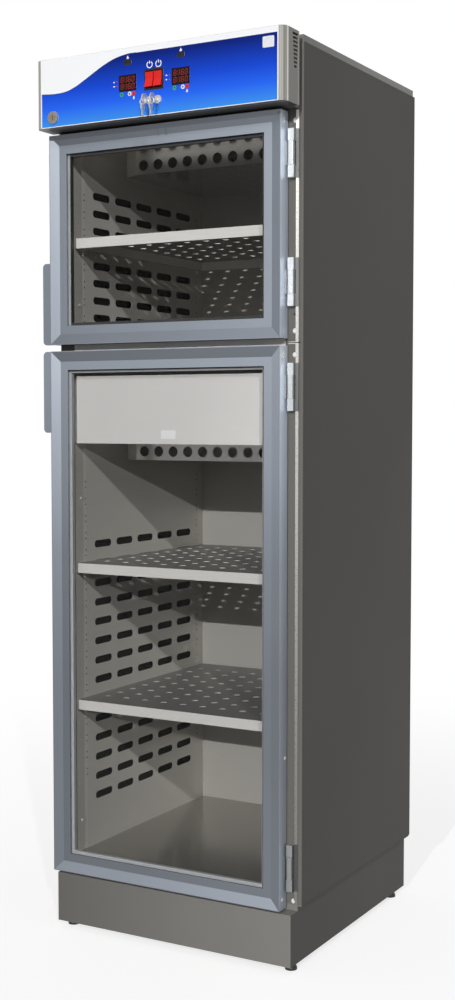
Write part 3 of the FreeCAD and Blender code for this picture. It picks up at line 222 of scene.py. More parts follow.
# a screw head from its middle to its rim, in shares of its radius and height
HEAD_PROFILE = (
    (0.0, 0.62),
    (0.3, 0.92),
    (0.55, 0.86),
    (0.8, 0.66),
    (0.96, 0.36),
    (1.0, 0.12),
    (1.0, 0.0),
)
HEAD_SIDES = 20
RECESS_REACH = 0.3
RECESS_DEPTH = 0.3


def piece(name, work, material, body, smooth=False):
    """Turns a bmesh into a named piece that moves with a CAD body."""
    bmesh.ops.recalc_face_normals(work, faces=work.faces)
    mesh = bpy.data.meshes.new(name)
    work.to_mesh(mesh)
    work.free()
    mesh.materials.append(material)
    for face in mesh.polygons:
        face.use_smooth = smooth
    made = bpy.data.objects.new(name, mesh)
    bpy.context.scene.collection.objects.link(made)
    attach(made, body)


def film(work, loops, front, thickness):
    """Adds a flat film to a bmesh: an outline and its holes, at a front Y."""
    edges = []
    for loop in loops:
        corners = [work.verts.new((x, front + thickness, z)) for x, z in loop]
        edges += [work.edges.new((corners[i - 1], corners[i])) for i in range(len(corners))]
    filled = bmesh.ops.triangle_fill(work, use_beauty=True, edges=edges)
    faces = [g for g in filled["geom"] if isinstance(g, bmesh.types.BMFace)]
    raised = bmesh.ops.extrude_face_region(work, geom=faces)
    moved = [g for g in raised["geom"] if isinstance(g, bmesh.types.BMVert)]
    bmesh.ops.translate(work, verts=moved, vec=(0, -thickness, 0))


def films(name, outlines, front, thickness, material, body="cabinet"):
    """Makes one piece of flat films, one for each outline."""
    work = bmesh.new()
    for outline in outlines:
        film(work, [outline], front, thickness)
    piece(name, work, material, body)


def pan_head(work, place, direction, diameter, height):
    """Adds a domed screw head with a cross recess to a bmesh."""
    radius = diameter / 2
    turn = Vector((0, 0, 1)).rotation_difference(Vector(direction)).to_matrix()
    rings = []
    for share, rise in HEAD_PROFILE:
        ring = []
        for i in range(HEAD_SIDES if share else 1):
            angle = 2 * math.pi * i / HEAD_SIDES
            arm = share == RECESS_REACH and i % (HEAD_SIDES // 4) == 0
            level = height * (rise - (RECESS_DEPTH if arm else 0.0))
            reach = radius * share
            spot = Vector((reach * math.cos(angle), reach * math.sin(angle), level))
            ring.append(work.verts.new(Vector(place) + turn @ spot))
        rings.append(ring)
    for i in range(HEAD_SIDES):
        work.faces.new((rings[0][0], rings[1][i], rings[1][(i + 1) % HEAD_SIDES]))
    for inner, outer in zip(rings[1:], rings[2:]):
        for i in range(HEAD_SIDES):
            j = (i + 1) % HEAD_SIDES
            work.faces.new((inner[i], outer[i], outer[j], inner[j]))


def heads(name, spots, direction, material, body="cabinet"):
    """Makes one piece of screw heads, each by its place, diameter and height."""
    work = bmesh.new()
    for place, diameter, height in spots:
        pan_head(work, place, direction, diameter, height)
    piece(name, work, material, body, smooth=True)


# ---- materials


def plug(node, *values, **named):
    """Gives a node's sockets values or links, in their order or by name.

    A node stands for its first output, and None leaves a socket as it is.
    """
    sockets = dict(enumerate(values))
    sockets.update({name.replace("_", " "): value for name, value in named.items()})
    for key, value in sockets.items():
        if isinstance(value, bpy.types.Node):
            value = value.outputs[0]
        if isinstance(value, bpy.types.NodeSocket):
            node.id_data.links.new(value, node.inputs[key])
        elif value is not None:
            node.inputs[key].default_value = value


def add(tree, kind, *values, stops=(), **named):
    """Adds one shader node: names in small letters are settings, the rest sockets."""
    node = tree.nodes.new("ShaderNode" + kind)
    for name in [name for name in named if name.islower()]:
        setattr(node, name, named.pop(name))
    plug(node, *values, **named)
    for i, (position, shade) in enumerate(stops):
        ramp = node.color_ramp.elements
        stop = ramp[i] if i < 2 else ramp.new(position)
        stop.position, stop.color = position, (*shade, 1)
    return node


def new_material(name, **sockets):
    """A material, its tree, its Principled shader with these sockets set, and places."""
    made = bpy.data.materials.new(name)
    made.use_nodes = True
    tree = made.node_tree
    shader = tree.nodes["Principled BSDF"]
    plug(shader, **sockets)
    place = add(tree, "TexCoord").outputs["Object"]
    return made, tree, shader, place


def shades(base, *factors):
    """The base colour made lighter or darker."""
    return [tuple(min(1.0, c * f) for c in base) for f in factors]


def toned(tree, base, value, drifts):
    """The base colour times a number about 1, with drifts of tone along axes.

    A drift is the coordinate it follows, its axis, and (place, factor) points.
    """
    coordinates = add(tree, "TexCoord")
    for source, axis, points in drifts:
        low, high = points[0][0], points[-1][0]
        parts = add(tree, "SeparateXYZ", coordinates.outputs[source])
        share = add(tree, "MapRange", parts.outputs[axis], low, high)
        # a ramp holds up to 1, so factors are halved in it and doubled after it
        stops = [((spot - low) / (high - low), (factor / 2,) * 3) for spot, factor in points]
        ramp = add(tree, "ValToRGB", share, stops=stops)
        value = add(tree, "Math", value, ramp, operation="MULTIPLY")
    whole = tuple(c * 2 ** len(drifts) for c in base)
    return add(tree, "VectorMath", whole, Scale=value, operation="SCALE")


def powder_coat(name, base, gloss=0.45, shine=0.3, drifts=()):
    """Baked powder coat: faint orange peel and slow shifts of tone."""
    made, tree, shader, place = new_material(name, Roughness=gloss, Specular_IOR_Level=shine)
    # slow tone shifts over about 400 mm, as on a large baked sheet
    cloud = add(tree, "TexNoise", Vector=place, Scale=2.5, Detail=3.0)
    tone = add(tree, "MapRange", cloud, 0.3, 0.7, 0.96, 1.04)
    # orange peel is about 1.5 mm across; drawn at 3 mm so that it shows
    peel = add(tree, "TexNoise", Vector=place, Scale=330.0, Detail=2.0)
    raised = add(tree, "Bump", Height=peel, Strength=0.06, Distance=0.001)
    rub = add(tree, "MapRange", cloud, 0.3, 0.7, gloss - 0.04, gloss + 0.05)
    plug(shader, Base_Color=toned(tree, base, tone, drifts), Normal=raised, Roughness=rub)
    return made


def brushed_stainless(name, base, grain, gloss=0.4, metal=0.6, drifts=()):
    """Belt-brushed stainless sheet: long fine lines along the belt's run."""
    made, tree, shader, place = new_material(name, Metallic=metal, Roughness=gloss)
    # brush lines are under 0.2 mm apart; drawn at about 1.2 mm so that they show
    stretched = add(tree, "Mapping", Vector=place, Scale=grain)
    lines = add(tree, "TexNoise", Vector=stretched, Scale=1.0, Detail=3.0)
    wipe = add(tree, "TexNoise", Vector=place, Scale=5.0, Detail=4.0, Roughness=0.6)
    tone = add(tree, "MapRange", lines, 0.3, 0.7, 0.95, 1.04)
    rub = add(tree, "MapRange", wipe, 0.3, 0.7, gloss * 0.88, gloss * 1.15)
    raised = add(tree, "Bump", Height=lines, Strength=0.04, Distance=0.0005)
    plug(shader, Base_Color=toned(tree, base, tone, drifts), Normal=raised, Roughness=rub)
    return made


def anodised_aluminium(name, base, drifts):
    """Etched and clear-anodised extrusion: even satin with a cool cast."""
    made, tree, shader, place = new_material(name, Metallic=0.6, Roughness=0.45)
    # etch pits are under 0.1 mm; drawn at about 1 mm so that they show
    etch = add(tree, "TexNoise", Vector=place, Scale=900.0, Detail=2.0)
    cloud = add(tree, "TexNoise", Vector=place, Scale=3.0, Detail=3.0)
    tone = add(tree, "MapRange", cloud, 0.3, 0.7, 0.96, 1.04)
    raised = add(tree, "Bump", Height=etch, Strength=0.04, Distance=0.0004)
    plug(shader, Base_Color=toned(tree, base, tone, drifts), Normal=raised)
    return made


def satin_housing(name, reflection_bands, front, depth):
    """Satin-coated formed steel with painted reflections: bright and dark bands follow its round
    corners.
    """
    made, tree, shader, place = new_material(name, Roughness=0.4, Specular_IOR_Level=0.3)
    parts = add(tree, "SeparateXYZ", place)
    share = add(tree, "MapRange", parts.outputs["Y"], front, front + depth)
    stops = [(mm(behind) / depth, linear(shade)) for behind, shade in reflection_bands]
    banded = add(tree, "ValToRGB", share, stops=stops)
    # painted shade: the housing is painted darker underneath
    facing = add(tree, "SeparateXYZ", place.node.outputs["Normal"])
    underside_shade = add(tree, "MapRange", facing.outputs["Z"], -0.9, -0.3, 0.32, 1.0)
    tint = add(tree, "VectorMath", banded, Scale=underside_shade, operation="SCALE")
    # orange peel is about 1.5 mm across; drawn at 3 mm so that it shows
    peel = add(tree, "TexNoise", Vector=place, Scale=330.0, Detail=2.0)
    raised = add(tree, "Bump", Height=peel, Strength=0.04, Distance=0.001)
    plug(shader, Base_Color=tint, Normal=raised)
    return made


def galvanised(name, base):
    """Hot-dip zinc: pale spangles a few millimetres across."""
    made, tree, shader, place = new_material(name, Metallic=0.9, Roughness=0.42)
    spangle = add(tree, "TexVoronoi", Vector=place, Scale=110.0).outputs["Color"]
    low, high = shades(base, 0.78, 1.1)
    tone = add(tree, "ValToRGB", spangle, stops=[(0.1, low), (0.9, high)])
    rub = add(tree, "MapRange", spangle, To_Min=0.34, To_Max=0.52)
    plug(shader, Base_Color=tone, Roughness=rub)
    return made


def plated(name, base, gloss=0.2, metal=1.0, drifts=()):
    """Tumbled and plated metal: soft gloss with fine scratches."""
    made, tree, shader, place = new_material(name, Metallic=metal, Roughness=gloss)
    # tumbling marks are under 0.1 mm wide; drawn at 2 mm so that they show
    scratch = add(tree, "TexNoise", Vector=place, Scale=420.0, Detail=4.0, Distortion=0.6)
    tone = add(tree, "MapRange", scratch, 0.35, 0.65, 0.93, 1.04)
    rub = add(tree, "MapRange", scratch, 0.3, 0.7, gloss * 0.7, gloss * 1.4)
    plug(shader, Base_Color=toned(tree, base, tone, drifts), Roughness=rub)
    return made


def moulded(name, base, gloss=0.35, grain=260.0, depth=0.08, shine=0.5, spread=0.06):
    """Moulded plastic, rubber or ink: fine grain, even colour."""
    made, tree, shader, place = new_material(name, Roughness=gloss, Specular_IOR_Level=shine)
    skin = add(tree, "TexNoise", Vector=place, Scale=grain, Detail=3.0)
    low, high = shades(base, 1 - spread, 1 + spread)
    tone = add(tree, "ValToRGB", skin, stops=[(0.35, low), (0.65, high)])
    raised = add(tree, "Bump", Height=skin, Strength=depth, Distance=0.0005)
    plug(shader, Base_Color=tone, Normal=raised)
    return made


def clear_float_glass(name):
    """Clear float glass, two thin panes with air between: near colourless."""
    near_clear = (*linear("#fefefe"), 1)
    chamber_shade_grey = (*linear("#b4b4b4"), 1)
    # a pair of thin panes bends light far less than a solid block of glass
    made, tree, shader, place = new_material(
        name, Base_Color=near_clear, Roughness=0.0, IOR=1.12, Transmission_Weight=1.0
    )
    clear = add(tree, "BsdfTransparent", near_clear)
    # painted shade: light that isn't straight passes at a grey, which darkens the chambers
    shaded_way = add(tree, "BsdfTransparent", chamber_shade_grey)
    # light inside the chambers passes straight, and so does all at the ground edges
    path = add(tree, "LightPath").outputs
    shadow, diffuse = path["Is Shadow Ray"], path["Is Diffuse Ray"]
    held = add(tree, "MapRange", diffuse, To_Min=0.42, To_Max=1.0)
    held = add(tree, "Math", held, shadow, operation="SUBTRACT", use_clamp=True)
    open_way = add(tree, "MixShader", held, clear, shaded_way)
    facing = add(tree, "SeparateXYZ", place.node.outputs["Normal"]).outputs["Y"]
    squared = add(tree, "Math", facing, 2.0, operation="POWER")
    straight = add(tree, "Math", squared, 0.25, operation="LESS_THAN")
    # a ray that the glass has bent counts as glossy too, so those are taken out
    glossy, bent = path["Is Glossy Ray"], path["Is Transmission Ray"]
    glossy = add(tree, "Math", glossy, bent, operation="SUBTRACT")
    for kind in (shadow, diffuse, glossy):
        straight = add(tree, "Math", straight, kind, operation="MAXIMUM")
    either = add(tree, "MixShader", straight, shader, open_way)
    plug(tree.nodes["Material Output"], Surface=either)
    # the pull of the float bath leaves streaks some 60 mm apart, in the gloss alone
    streak = add(tree, "TexNoise", Vector=place, Scale=16.0, Detail=1.0)
    haze = add(tree, "MapRange", streak, To_Min=0.0, To_Max=0.003)
    plug(shader, Roughness=haze)
    return made


def printed_blue(name, inks, low_z, high_z):
    """Back-printed polyester film: blue, fading lighter towards its lower edge."""
    made, tree, shader, place = new_material(name, Roughness=0.4, Specular_IOR_Level=0.12)
    height = add(tree, "SeparateXYZ", place).outputs["Z"]
    share = add(tree, "MapRange", height, low_z, high_z)
    fade = add(tree, "ValToRGB", share, stops=inks)
    grain = add(tree, "TexNoise", Vector=place, Scale=500.0, Detail=1.0)
    raised = add(tree, "Bump", Height=grain, Strength=0.03, Distance=0.0003)
    plug(shader, Base_Color=fade, Normal=raised)
    return made


def lit_segment(name, base, glow):
    """Lit display segment or lamp: a dim even glow behind tinted plastic."""
    made, tree, shader, place = new_material(
        name, Roughness=0.3, Emission_Strength=glow, Emission_Color=(*base, 1)
    )
    spots = add(tree, "TexNoise", Vector=place, Scale=400.0, Detail=2.0)
    low, high = shades(base, 0.8, 1.1)
    tone = add(tree, "ValToRGB", spots, stops=[(0.35, low), (0.65, high)])
    plug(shader, Base_Color=tone)
    return made


def slag_wool(name, base):
    """Pressed mineral wool under a black glass tissue: matt, tangled, mottled."""
    made, tree, shader, place = new_material(name, Roughness=0.95, Specular_IOR_Level=0.1)
    tangle = add(tree, "TexNoise", Vector=place, Scale=160.0, Detail=8.0, Distortion=1.5)
    low, high = shades(base, 0.6, 1.3)
    tone = add(tree, "ValToRGB", tangle, stops=[(0.3, low), (0.7, high)])
    raised = add(tree, "Bump", Height=tangle, Strength=0.6, Distance=0.004)
    plug(shader, Base_Color=tone, Normal=raised)
    return made


def finish(material, *nodes):
    """Gives CAD nodes a material."""
    for node in nodes:
        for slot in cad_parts[node].material_slots:
            slot.material = material


# ---- operators


class CabinetOperator:
    """What the cabinet's operators share"""

    bl_options = {"REGISTER", "UNDO"}

    @property
    def colours(self):
        return bpy.context.scene.cabinet_colours

    @property
    def sizes(self):
        return bpy.context.scene.cabinet_sizes


class CABINET_OT_carcass(CabinetOperator, bpy.types.Operator):
    """Coats the carcass: side panels, cover, rails, rear sheet, plinth and feet"""

    bl_idname = "cabinet.carcass"
    bl_label = "Carcass"

    def execute(self, context):
        paints = self.colours
        # painted light: the front flange is painted lighter than the sides, with a painted
        # highlight on the bend between them
        flange_painted_light = [(-0.92, 1.0), (-0.7, 2.0), (-0.4, 1.8), (0.0, 1.7)]
        flange_painted_light += [(0.4, 1.8), (0.7, 2.0), (0.92, 1.0)]
        drifts = [("Normal", "X", flange_painted_light)]
        # painted shade: the charcoal stands in for the sides' dark reflections, and on the bottom
        # pan for the shadow gap below the sides
        sides = powder_coat("charcoal_painted_shade", paints.side_paint, 0.52, 0.1, drifts)
        finish(sides, "side_panel_left", "side_panel_right", "bottom_pan")
        rails = powder_coat("powder_coat_grey", paints.face_paint)
        finish(rails, "head_rail", "sill_rail")
        # painted shade: the plinth's ends are painted darker like the side panels, and its front
        # is painted lighter towards the right
        ends = [(-0.75, 0.38), (-0.6, 1.0), (0.6, 1.0), (0.75, 0.38)]
        along = [(-0.282, 0.66), (-0.08, 0.84), (0.31, 1.12)]
        drifts = [("Normal", "X", ends), ("Object", "X", along)]
        plinth = powder_coat("powder_coat_plinth", paints.face_paint, 0.5, 0.12, drifts)
        finish(plinth, "plinth")
        # painted light: the cover is painted paler towards the back
        back = [(-0.22, 0.96), (-0.1, 1.08), (0.06, 1.25), (0.36, 1.25)]
        drifts = [("Object", "Y", back)]
        cover = powder_coat("powder_coat_cover", paints.cover_paint, drifts=drifts)
        finish(cover, "top_cover")
        # painted light: the centre panel is painted paler towards the hinges
        drifts = [("Object", "X", [(-0.2, 0.97), (0.02, 1.03), (0.24, 1.16)])]
        centre = powder_coat("powder_coat_centre", paints.centre_paint, 0.5, drifts=drifts)
        finish(centre, "centre_panel")
        finish(galvanised("galvanised_sheet_rear", paints.zinc), "rear_panel")
        finish(moulded("nylon_feet", linear("#1b1b1c"), gloss=0.45), "levelling_feet")
        return {"FINISHED"}


# brush lines per metre along X, Y and Z: few along the belt's run, many across it
BRUSHED_BACK = (400.0, 12.0, 800.0)
BRUSHED_BACK_FLAT = (800.0, 12.0, 400.0)
BRUSHED_ACROSS = (12.0, 800.0, 800.0)


class CABINET_OT_chambers(CabinetOperator, bpy.types.Operator):
    """Finishes both chambers: walls, decks, shelves, clips and air ducts"""

    bl_idname = "cabinet.chambers"
    bl_label = "Chambers"

    def execute(self, context):
        steel = self.colours.stainless
        # the belt runs front to back on the side walls; painted light: the side walls are painted
        # paler than the backs, and the upper backs a shade paler than the lower
        for level, back in (("upper", 1.1), ("lower", 1.0)):
            side_wall_painted_light = [(-1.0, 1.5), (-0.4, back), (0.4, back), (1.0, 1.5)]
            # painted light: the walls are painted paler at their front edge, by the opening
            opening_painted_light = [(-0.25, 1.3), (-0.215, 1.25), (-0.2, 1.0), (0.32, 1.0)]
            drifts = [("Normal", "X", side_wall_painted_light), ("Object", "Y", opening_painted_light)]
            name = f"stainless_brushed_{level}_walls"
            walls = brushed_stainless(name, steel, BRUSHED_BACK, 0.42, 0.2, drifts)
            finish(walls, f"{level}_liner_walls")
        # painted reflection: the ceilings are painted bright, and the floors a shade darker
        deck_painted_light = [("Normal", "Z", [(-1.0, 1.9), (-0.5, 1.9), (0.5, 0.86), (1.0, 0.86)])]
        name = "stainless_bright_decks"
        decks = brushed_stainless(name, steel, BRUSHED_BACK_FLAT, 0.2, 0.75, deck_painted_light)
        finish(decks, "upper_liner_decks", "lower_liner_decks")
        # painted shade: the upper and under faces are painted darker than the lips, and the
        # shelves are lighter higher up
        darkening = [(-1.0, 0.3), (-0.5, 0.3), (0.0, 1.0), (0.5, 0.36), (1.0, 0.3)]
        high = [(0.5, 0.9), (0.9, 0.94), (1.5, 1.12)]
        drifts = [("Normal", "Z", darkening), ("Object", "Z", high)]
        name, sheet = "stainless_brushed_shelves", self.colours.shelf_metal
        shelves = brushed_stainless(name, sheet, BRUSHED_ACROSS, 0.42, 0.15, drifts)
        finish(shelves, "upper_shelf", "middle_shelf", "lower_shelf", "shelf_clips")
        # the ducts' fronts are polished, and their undersides are in their own shade
        shade = [("Normal", "Z", [(-1.0, 0.5), (-0.5, 0.5), (0.0, 1.1), (1.0, 1.1)])]
        name, sheet = "stainless_polished_ducts", linear("#eceae6")
        ducts = brushed_stainless(name, sheet, BRUSHED_ACROSS, 0.16, 0.6, shade)
        finish(ducts, "air_ducts")
        return {"FINISHED"}


class CABINET_OT_machinery(CabinetOperator, bpy.types.Operator):
    """Finishes what is out of sight: insulation, blowers, heaters and board"""

    bl_idname = "cabinet.machinery"
    bl_label = "Machinery"

    def execute(self, context):
        finish(slag_wool("mineral_wool_black_tissue", linear("#2b2926")), "insulation")
        blowers = galvanised("galvanised_blowers", self.colours.zinc)
        finish(blowers, "blowers", "upper_fan_wheel", "lower_fan_wheel")
        finish(plated("oxidised_heater_sheath", linear("#4a4039"), gloss=0.45), "air_heaters")
        finish(moulded("circuit_laminate", linear("#155a34"), gloss=0.3), "control_board")
        finish(moulded("nylon_gland", linear("#1a1a1b"), gloss=0.4), "cord_gland")
        return {"FINISHED"}


# painted light: each of the four bevels of a door's section is painted its own share of the light,
# the rails are painted lighter across the door and up it, and the doors' hinge-side faces are
# painted a highlight
RAIL_PAINTED_LIGHT = {
    "upper": (
        ("Normal", "Z", [(-1.0, 0.5), (-0.29, 0.5), (0.0, 1.0), (0.29, 0.85), (1.0, 0.5)]),
        ("Normal", "X", [(-1.0, 0.8), (-0.29, 0.72), (0.0, 1.0), (0.29, 1.0), (1.0, 2.0)]),
        ("Object", "Z", [(1.33, 0.92), (1.75, 1.05)]),
        ("Object", "X", [(-0.29, 0.8), (0.28, 1.18)]),
    ),
    "lower": (
        (
            "Normal",
            "Z",
            [(-1.0, 0.5), (-0.29, 0.48), (0.0, 1.0), (0.29, 1.9), (0.5, 0.3), (1.0, 0.2)],
        ),
        ("Normal", "X", [(-1.0, 0.8), (-0.29, 1.0), (0.0, 1.0), (0.29, 1.1), (1.0, 2.0)]),
        ("Object", "Z", [(0.13, 0.52), (0.6, 0.52), (0.85, 0.64), (1.05, 0.86), (1.28, 1.08)]),
        (
            "Object",
            "X",
            [(-0.29, 0.84), (0.27, 1.08), (0.2846, 1.08), (0.2849, 1.6), (0.3, 1.6)],
        ),
    ),
}


class CABINET_OT_doors(CabinetOperator, bpy.types.Operator):
    """Finishes both doors: rails, pulls, glass, spacer bars and gaskets"""

    bl_idname = "cabinet.doors"
    bl_label = "Doors"

    def execute(self, context):
        metal = self.colours.door_metal
        glass = clear_float_glass("glass_float_clear")
        gasket = moulded("rubber_extruded_gasket", linear("#1c1c1d"), gloss=0.6)
        for level, drifts in RAIL_PAINTED_LIGHT.items():
            rails = anodised_aluminium(f"aluminium_anodised_{level}", metal, drifts)
            finish(rails, f"{level}_door_frame", f"{level}_door_pull")
            finish(glass, f"{level}_door_glass")
            finish(self.spacer(level), f"{level}_door_spacer")
            finish(gasket, f"{level}_door_gasket")
        return {"FINISHED"}

    def spacer(self, level):
        """The spacer bar's finish: bright at the left, in the rebate's shade elsewhere."""
        low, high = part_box(f"{level}_door_spacer")
        bar, dim = mm(12), 0.1
        across = [(low.x, 1.0), (low.x + bar, 1.0), (low.x + bar * 1.1, dim), (high.x, dim)]
        up = [(low.z, 1.0), (high.z, 1.0)]
        if level == "lower":
            # light off the centre panel reaches its sill too
            across = [(low.x, 1.0), (high.x - bar * 1.1, 1.0), (high.x - bar, dim), (high.x, dim)]
            up = [(low.z, 1.0), (high.z - bar * 1.1, 1.0), (high.z - bar, dim), (high.z, dim)]
        drifts = [("Object", "X", across), ("Object", "Z", up)]
        name = f"aluminium_mill_spacer_{level}"
        return plated(name, linear("#b9bcbe"), 0.5, 0.15, drifts)


class CABINET_OT_hinges(CabinetOperator, bpy.types.Operator):
    """Finishes the hinges and the plug buttons beside them"""

    bl_idname = "cabinet.hinges"
    bl_label = "Hinges"

    def execute(self, context):
        # painted shade: the knuckles' flanks facing the side and the leaves beside them are
        # painted darker than the knuckles' fronts, and the hinges are darker lower down
        shaded_flanks = [(0.0, 1.0), (0.5, 0.8), (0.9, 0.4)]
        shaded_leaves = [(0.28, 0.45), (0.2868, 0.45), (0.288, 1.0)]
        shaded_leaves += [(0.3028, 1.0), (0.3034, 0.36), (0.31, 0.36)]
        height = [(0.2, 0.4), (0.5, 0.5), (1.2, 0.86), (1.42, 1.2), (1.7, 1.12)]
        drifts = [("Normal", "X", shaded_flanks), ("Object", "X", shaded_leaves), ("Object", "Z", height)]
        nickel = plated("satin_nickel_hinges", linear("#e0e2e3"), 0.34, 0.3, drifts)
        finish(nickel, "hinge_frame_halves", "upper_door_hinge_leaves", "lower_door_hinge_leaves")
        finish(moulded("nylon_white_plugs", linear("#e9e8e4"), gloss=0.4), "plug_buttons")
        return {"FINISHED"}


# painted reflections and highlights on the control housing's round corners: tones by millimetres
# behind its front
HOUSING_PAINTED_REFLECTIONS = (
    (0.0, "#a8a69e"),
    (1.0, "#a5a39b"),
    (1.4, "#83827b"),
    (1.8, "#b8b6ad"),
    (4.1, "#82817a"),
    (7.6, "#a09f99"),
    (10.4, "#a6a59f"),
    (11.2, "#fbfaf5"),
    (14.4, "#fbfaf5"),
    (16.0, "#84837f"),
    (56.5, "#807f7b"),
    (58.0, "#a3a29d"),
    (75.0, "#a3a29d"),
    (83.0, "#8a8984"),
)
# the blue field's upper edge between its ends in mm, as X and Z: level at the left,
# then one long rise
RISE = (
    (-240, 1854.3),
    (-209, 1856.2),
    (-184, 1864.4),
    (-159, 1876.5),
    (-134, 1889.5),
    (-110, 1901.2),
    (-82, 1911.4),
    (-51.7, 1916.8),
)
# in mm: X of the two columns of controls, Z of the displays and of the status lamps
COLUMNS = (-51, 79)
DISPLAY_Z = 1857
LAMP_ROWS = (1862.2, 1852.6)
# thickness of a printed mark and of the navy line in mm, and an ink's grain
INK = 0.06
LINE_INK = 0.03
PRINT_GRAIN = 500.0


class CABINET_OT_header(CabinetOperator, bpy.types.Operator):
    """Finishes the control housing and its film, and prints the blue field"""

    bl_idname = "cabinet.header"
    bl_label = "Header"

    def execute(self, context):
        sizes, inks = self.sizes, self.colours
        low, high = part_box("control_housing")
        depth = high.y - low.y
        housing = satin_housing("satin_housing_painted_reflections", HOUSING_PAINTED_REFLECTIONS, low.y, depth)
        finish(housing, "control_housing")
        name, white = "polyester_film_white", linear("#fafbfd")
        overlay = moulded(name, white, 0.35, PRINT_GRAIN, 0.02, 0.3, spread=0.01)
        finish(overlay, "control_overlay")
        low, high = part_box("control_overlay")
        front = low.y - sizes.film
        left, right = low.x + sizes.margin, high.x - sizes.margin
        bottom, top = low.z + mm(1.4), high.z - mm(12.3)
        curve = through([(left, mm(1856.6)), *(mm(*spot) for spot in RISE), (mm(-30), top)])
        outline = curve + [(right, top), (right, bottom), (left, bottom)]
        stops = [
            (0.0, inks.print_bottom),
            (0.28, linear("#2566f4")),
            (0.55, inks.print_middle),
            (0.95, inks.print_top),
        ]
        blue = printed_blue("polyester_film_blue", stops, bottom, top)
        work = bmesh.new()
        film(work, [outline, *self.windows()], front, sizes.film)
        piece("overlay_blue_field", work, blue, "cabinet")
        navy = moulded("ink_navy_line", inks.print_line, 0.34, PRINT_GRAIN, 0.02)
        lines = [ribbon(curve, sizes.line)]
        thick = mm(LINE_INK)
        films("overlay_curve_line", lines, front - thick, thick, navy)
        return {"FINISHED"}

    def windows(self):
        """Outlines of the places where parts come through the film."""
        holes = []
        for x in mm(*COLUMNS):
            holes.append(box_points(x, *mm(DISPLAY_Z, 43.4, 34.4, 1.2)))
            holes.append(box_points(x, *mm(1899.5, 17.8, 10.4, 1.0)))
        holes += [circle_points(x, *mm(1834, 4.75)) for x in mm(-66, -46, -36, 64, 84, 94)]
        holes.append(box_points(*mm(14, 1858, 47.2, 43.6, 2.0)))
        holes += [circle_points(x, *mm(1815, 8.7)) for x in mm(4, 24)]
        holes.append(circle_points(*mm(-244, 1804.4, 13.8), 40))
        return holes


# a bell about its middle in mm, as X and Z
BELL = ((-3.2, -2.2), (-2.0, -0.6), (-1.6, 1.6), (0, 2.8), (1.6, 1.6), (2.0, -0.6), (3.2, -2.2))


class CABINET_OT_marks(CabinetOperator, bpy.types.Operator):
    """Prints the plain white marks on the film and the blank badge"""

    bl_idname = "cabinet.marks"
    bl_label = "Printed marks"

    def execute(self, context):
        sizes = self.sizes
        thick = mm(INK)
        front = front_of("control_overlay") - sizes.film - thick
        white = moulded("ink_white", linear("#f4f6fa"), 0.4, PRINT_GRAIN, 0.02)
        marks = []
        # a power mark over each rocker
        radius, z, pen = sizes.power_mark / 2, mm(1888.6), mm(2.0)
        for x in mm(3.2, 25.0):
            marks.append(ribbon(arc_line(x, z, radius, 125, 415, 40), pen))
            marks.append(box_points(x, z + radius * 0.75, pen, radius * 0.9))
        for x in mm(*COLUMNS):
            # a plain plug pictogram over each port
            marks.append(box_points(x, *mm(1908.6, 5.4, 4.2, 1.2)))
            marks.append(box_points(x, *mm(1912.0, 2.4, 2.0)))
            # pointers beside the two status lamps
            tip, half = x - mm(34.5), mm(2.6)
            for z, way in zip(mm(*LAMP_ROWS), (1, -1)):
                base, point = z - way * mm(1.5), z + way * mm(1.9)
                marks.append([(tip - half, base), (tip + half, base), (tip, point)][::way])
            # a bell under the silence key
            bell_x, bell_z = x + mm(15), mm(1825.4)
            bell = [(bell_x + mm(across), bell_z + mm(up)) for across, up in BELL]
            marks.append(through(bell, 4))
            marks.append(circle_points(bell_x, bell_z - mm(3.2), mm(0.8), 12))
        films("overlay_white_marks", marks, front, thick, white)
        badge = moulded("polyester_badge_blank", linear("#e9ebf0"), 0.35, 400.0, 0.02)
        outline = box_points(*mm(282, 1900.3, 26, 22, 2.2))
        films("blank_badge", [outline], front, thick, badge)
        return {"FINISHED"}


# segments of a digit: shares of its width and height from its middle, and 1 if level
SEGMENTS = {
    "a": (0.0, 0.5, 1),
    "g": (0.0, 0.0, 1),
    "d": (0.0, -0.5, 1),
    "f": (-0.5, 0.25, 0),
    "b": (0.5, 0.25, 0),
    "e": (-0.5, -0.25, 0),
    "c": (0.5, -0.25, 0),
}
# the segments that each digit lights
SHAPES = {"0": "abcdef", "1": "bc", "6": "afgcde", "8": "abcdefg"}
READING = "8160"
# how far a digit leans for each unit of its height
SLANT = 0.08


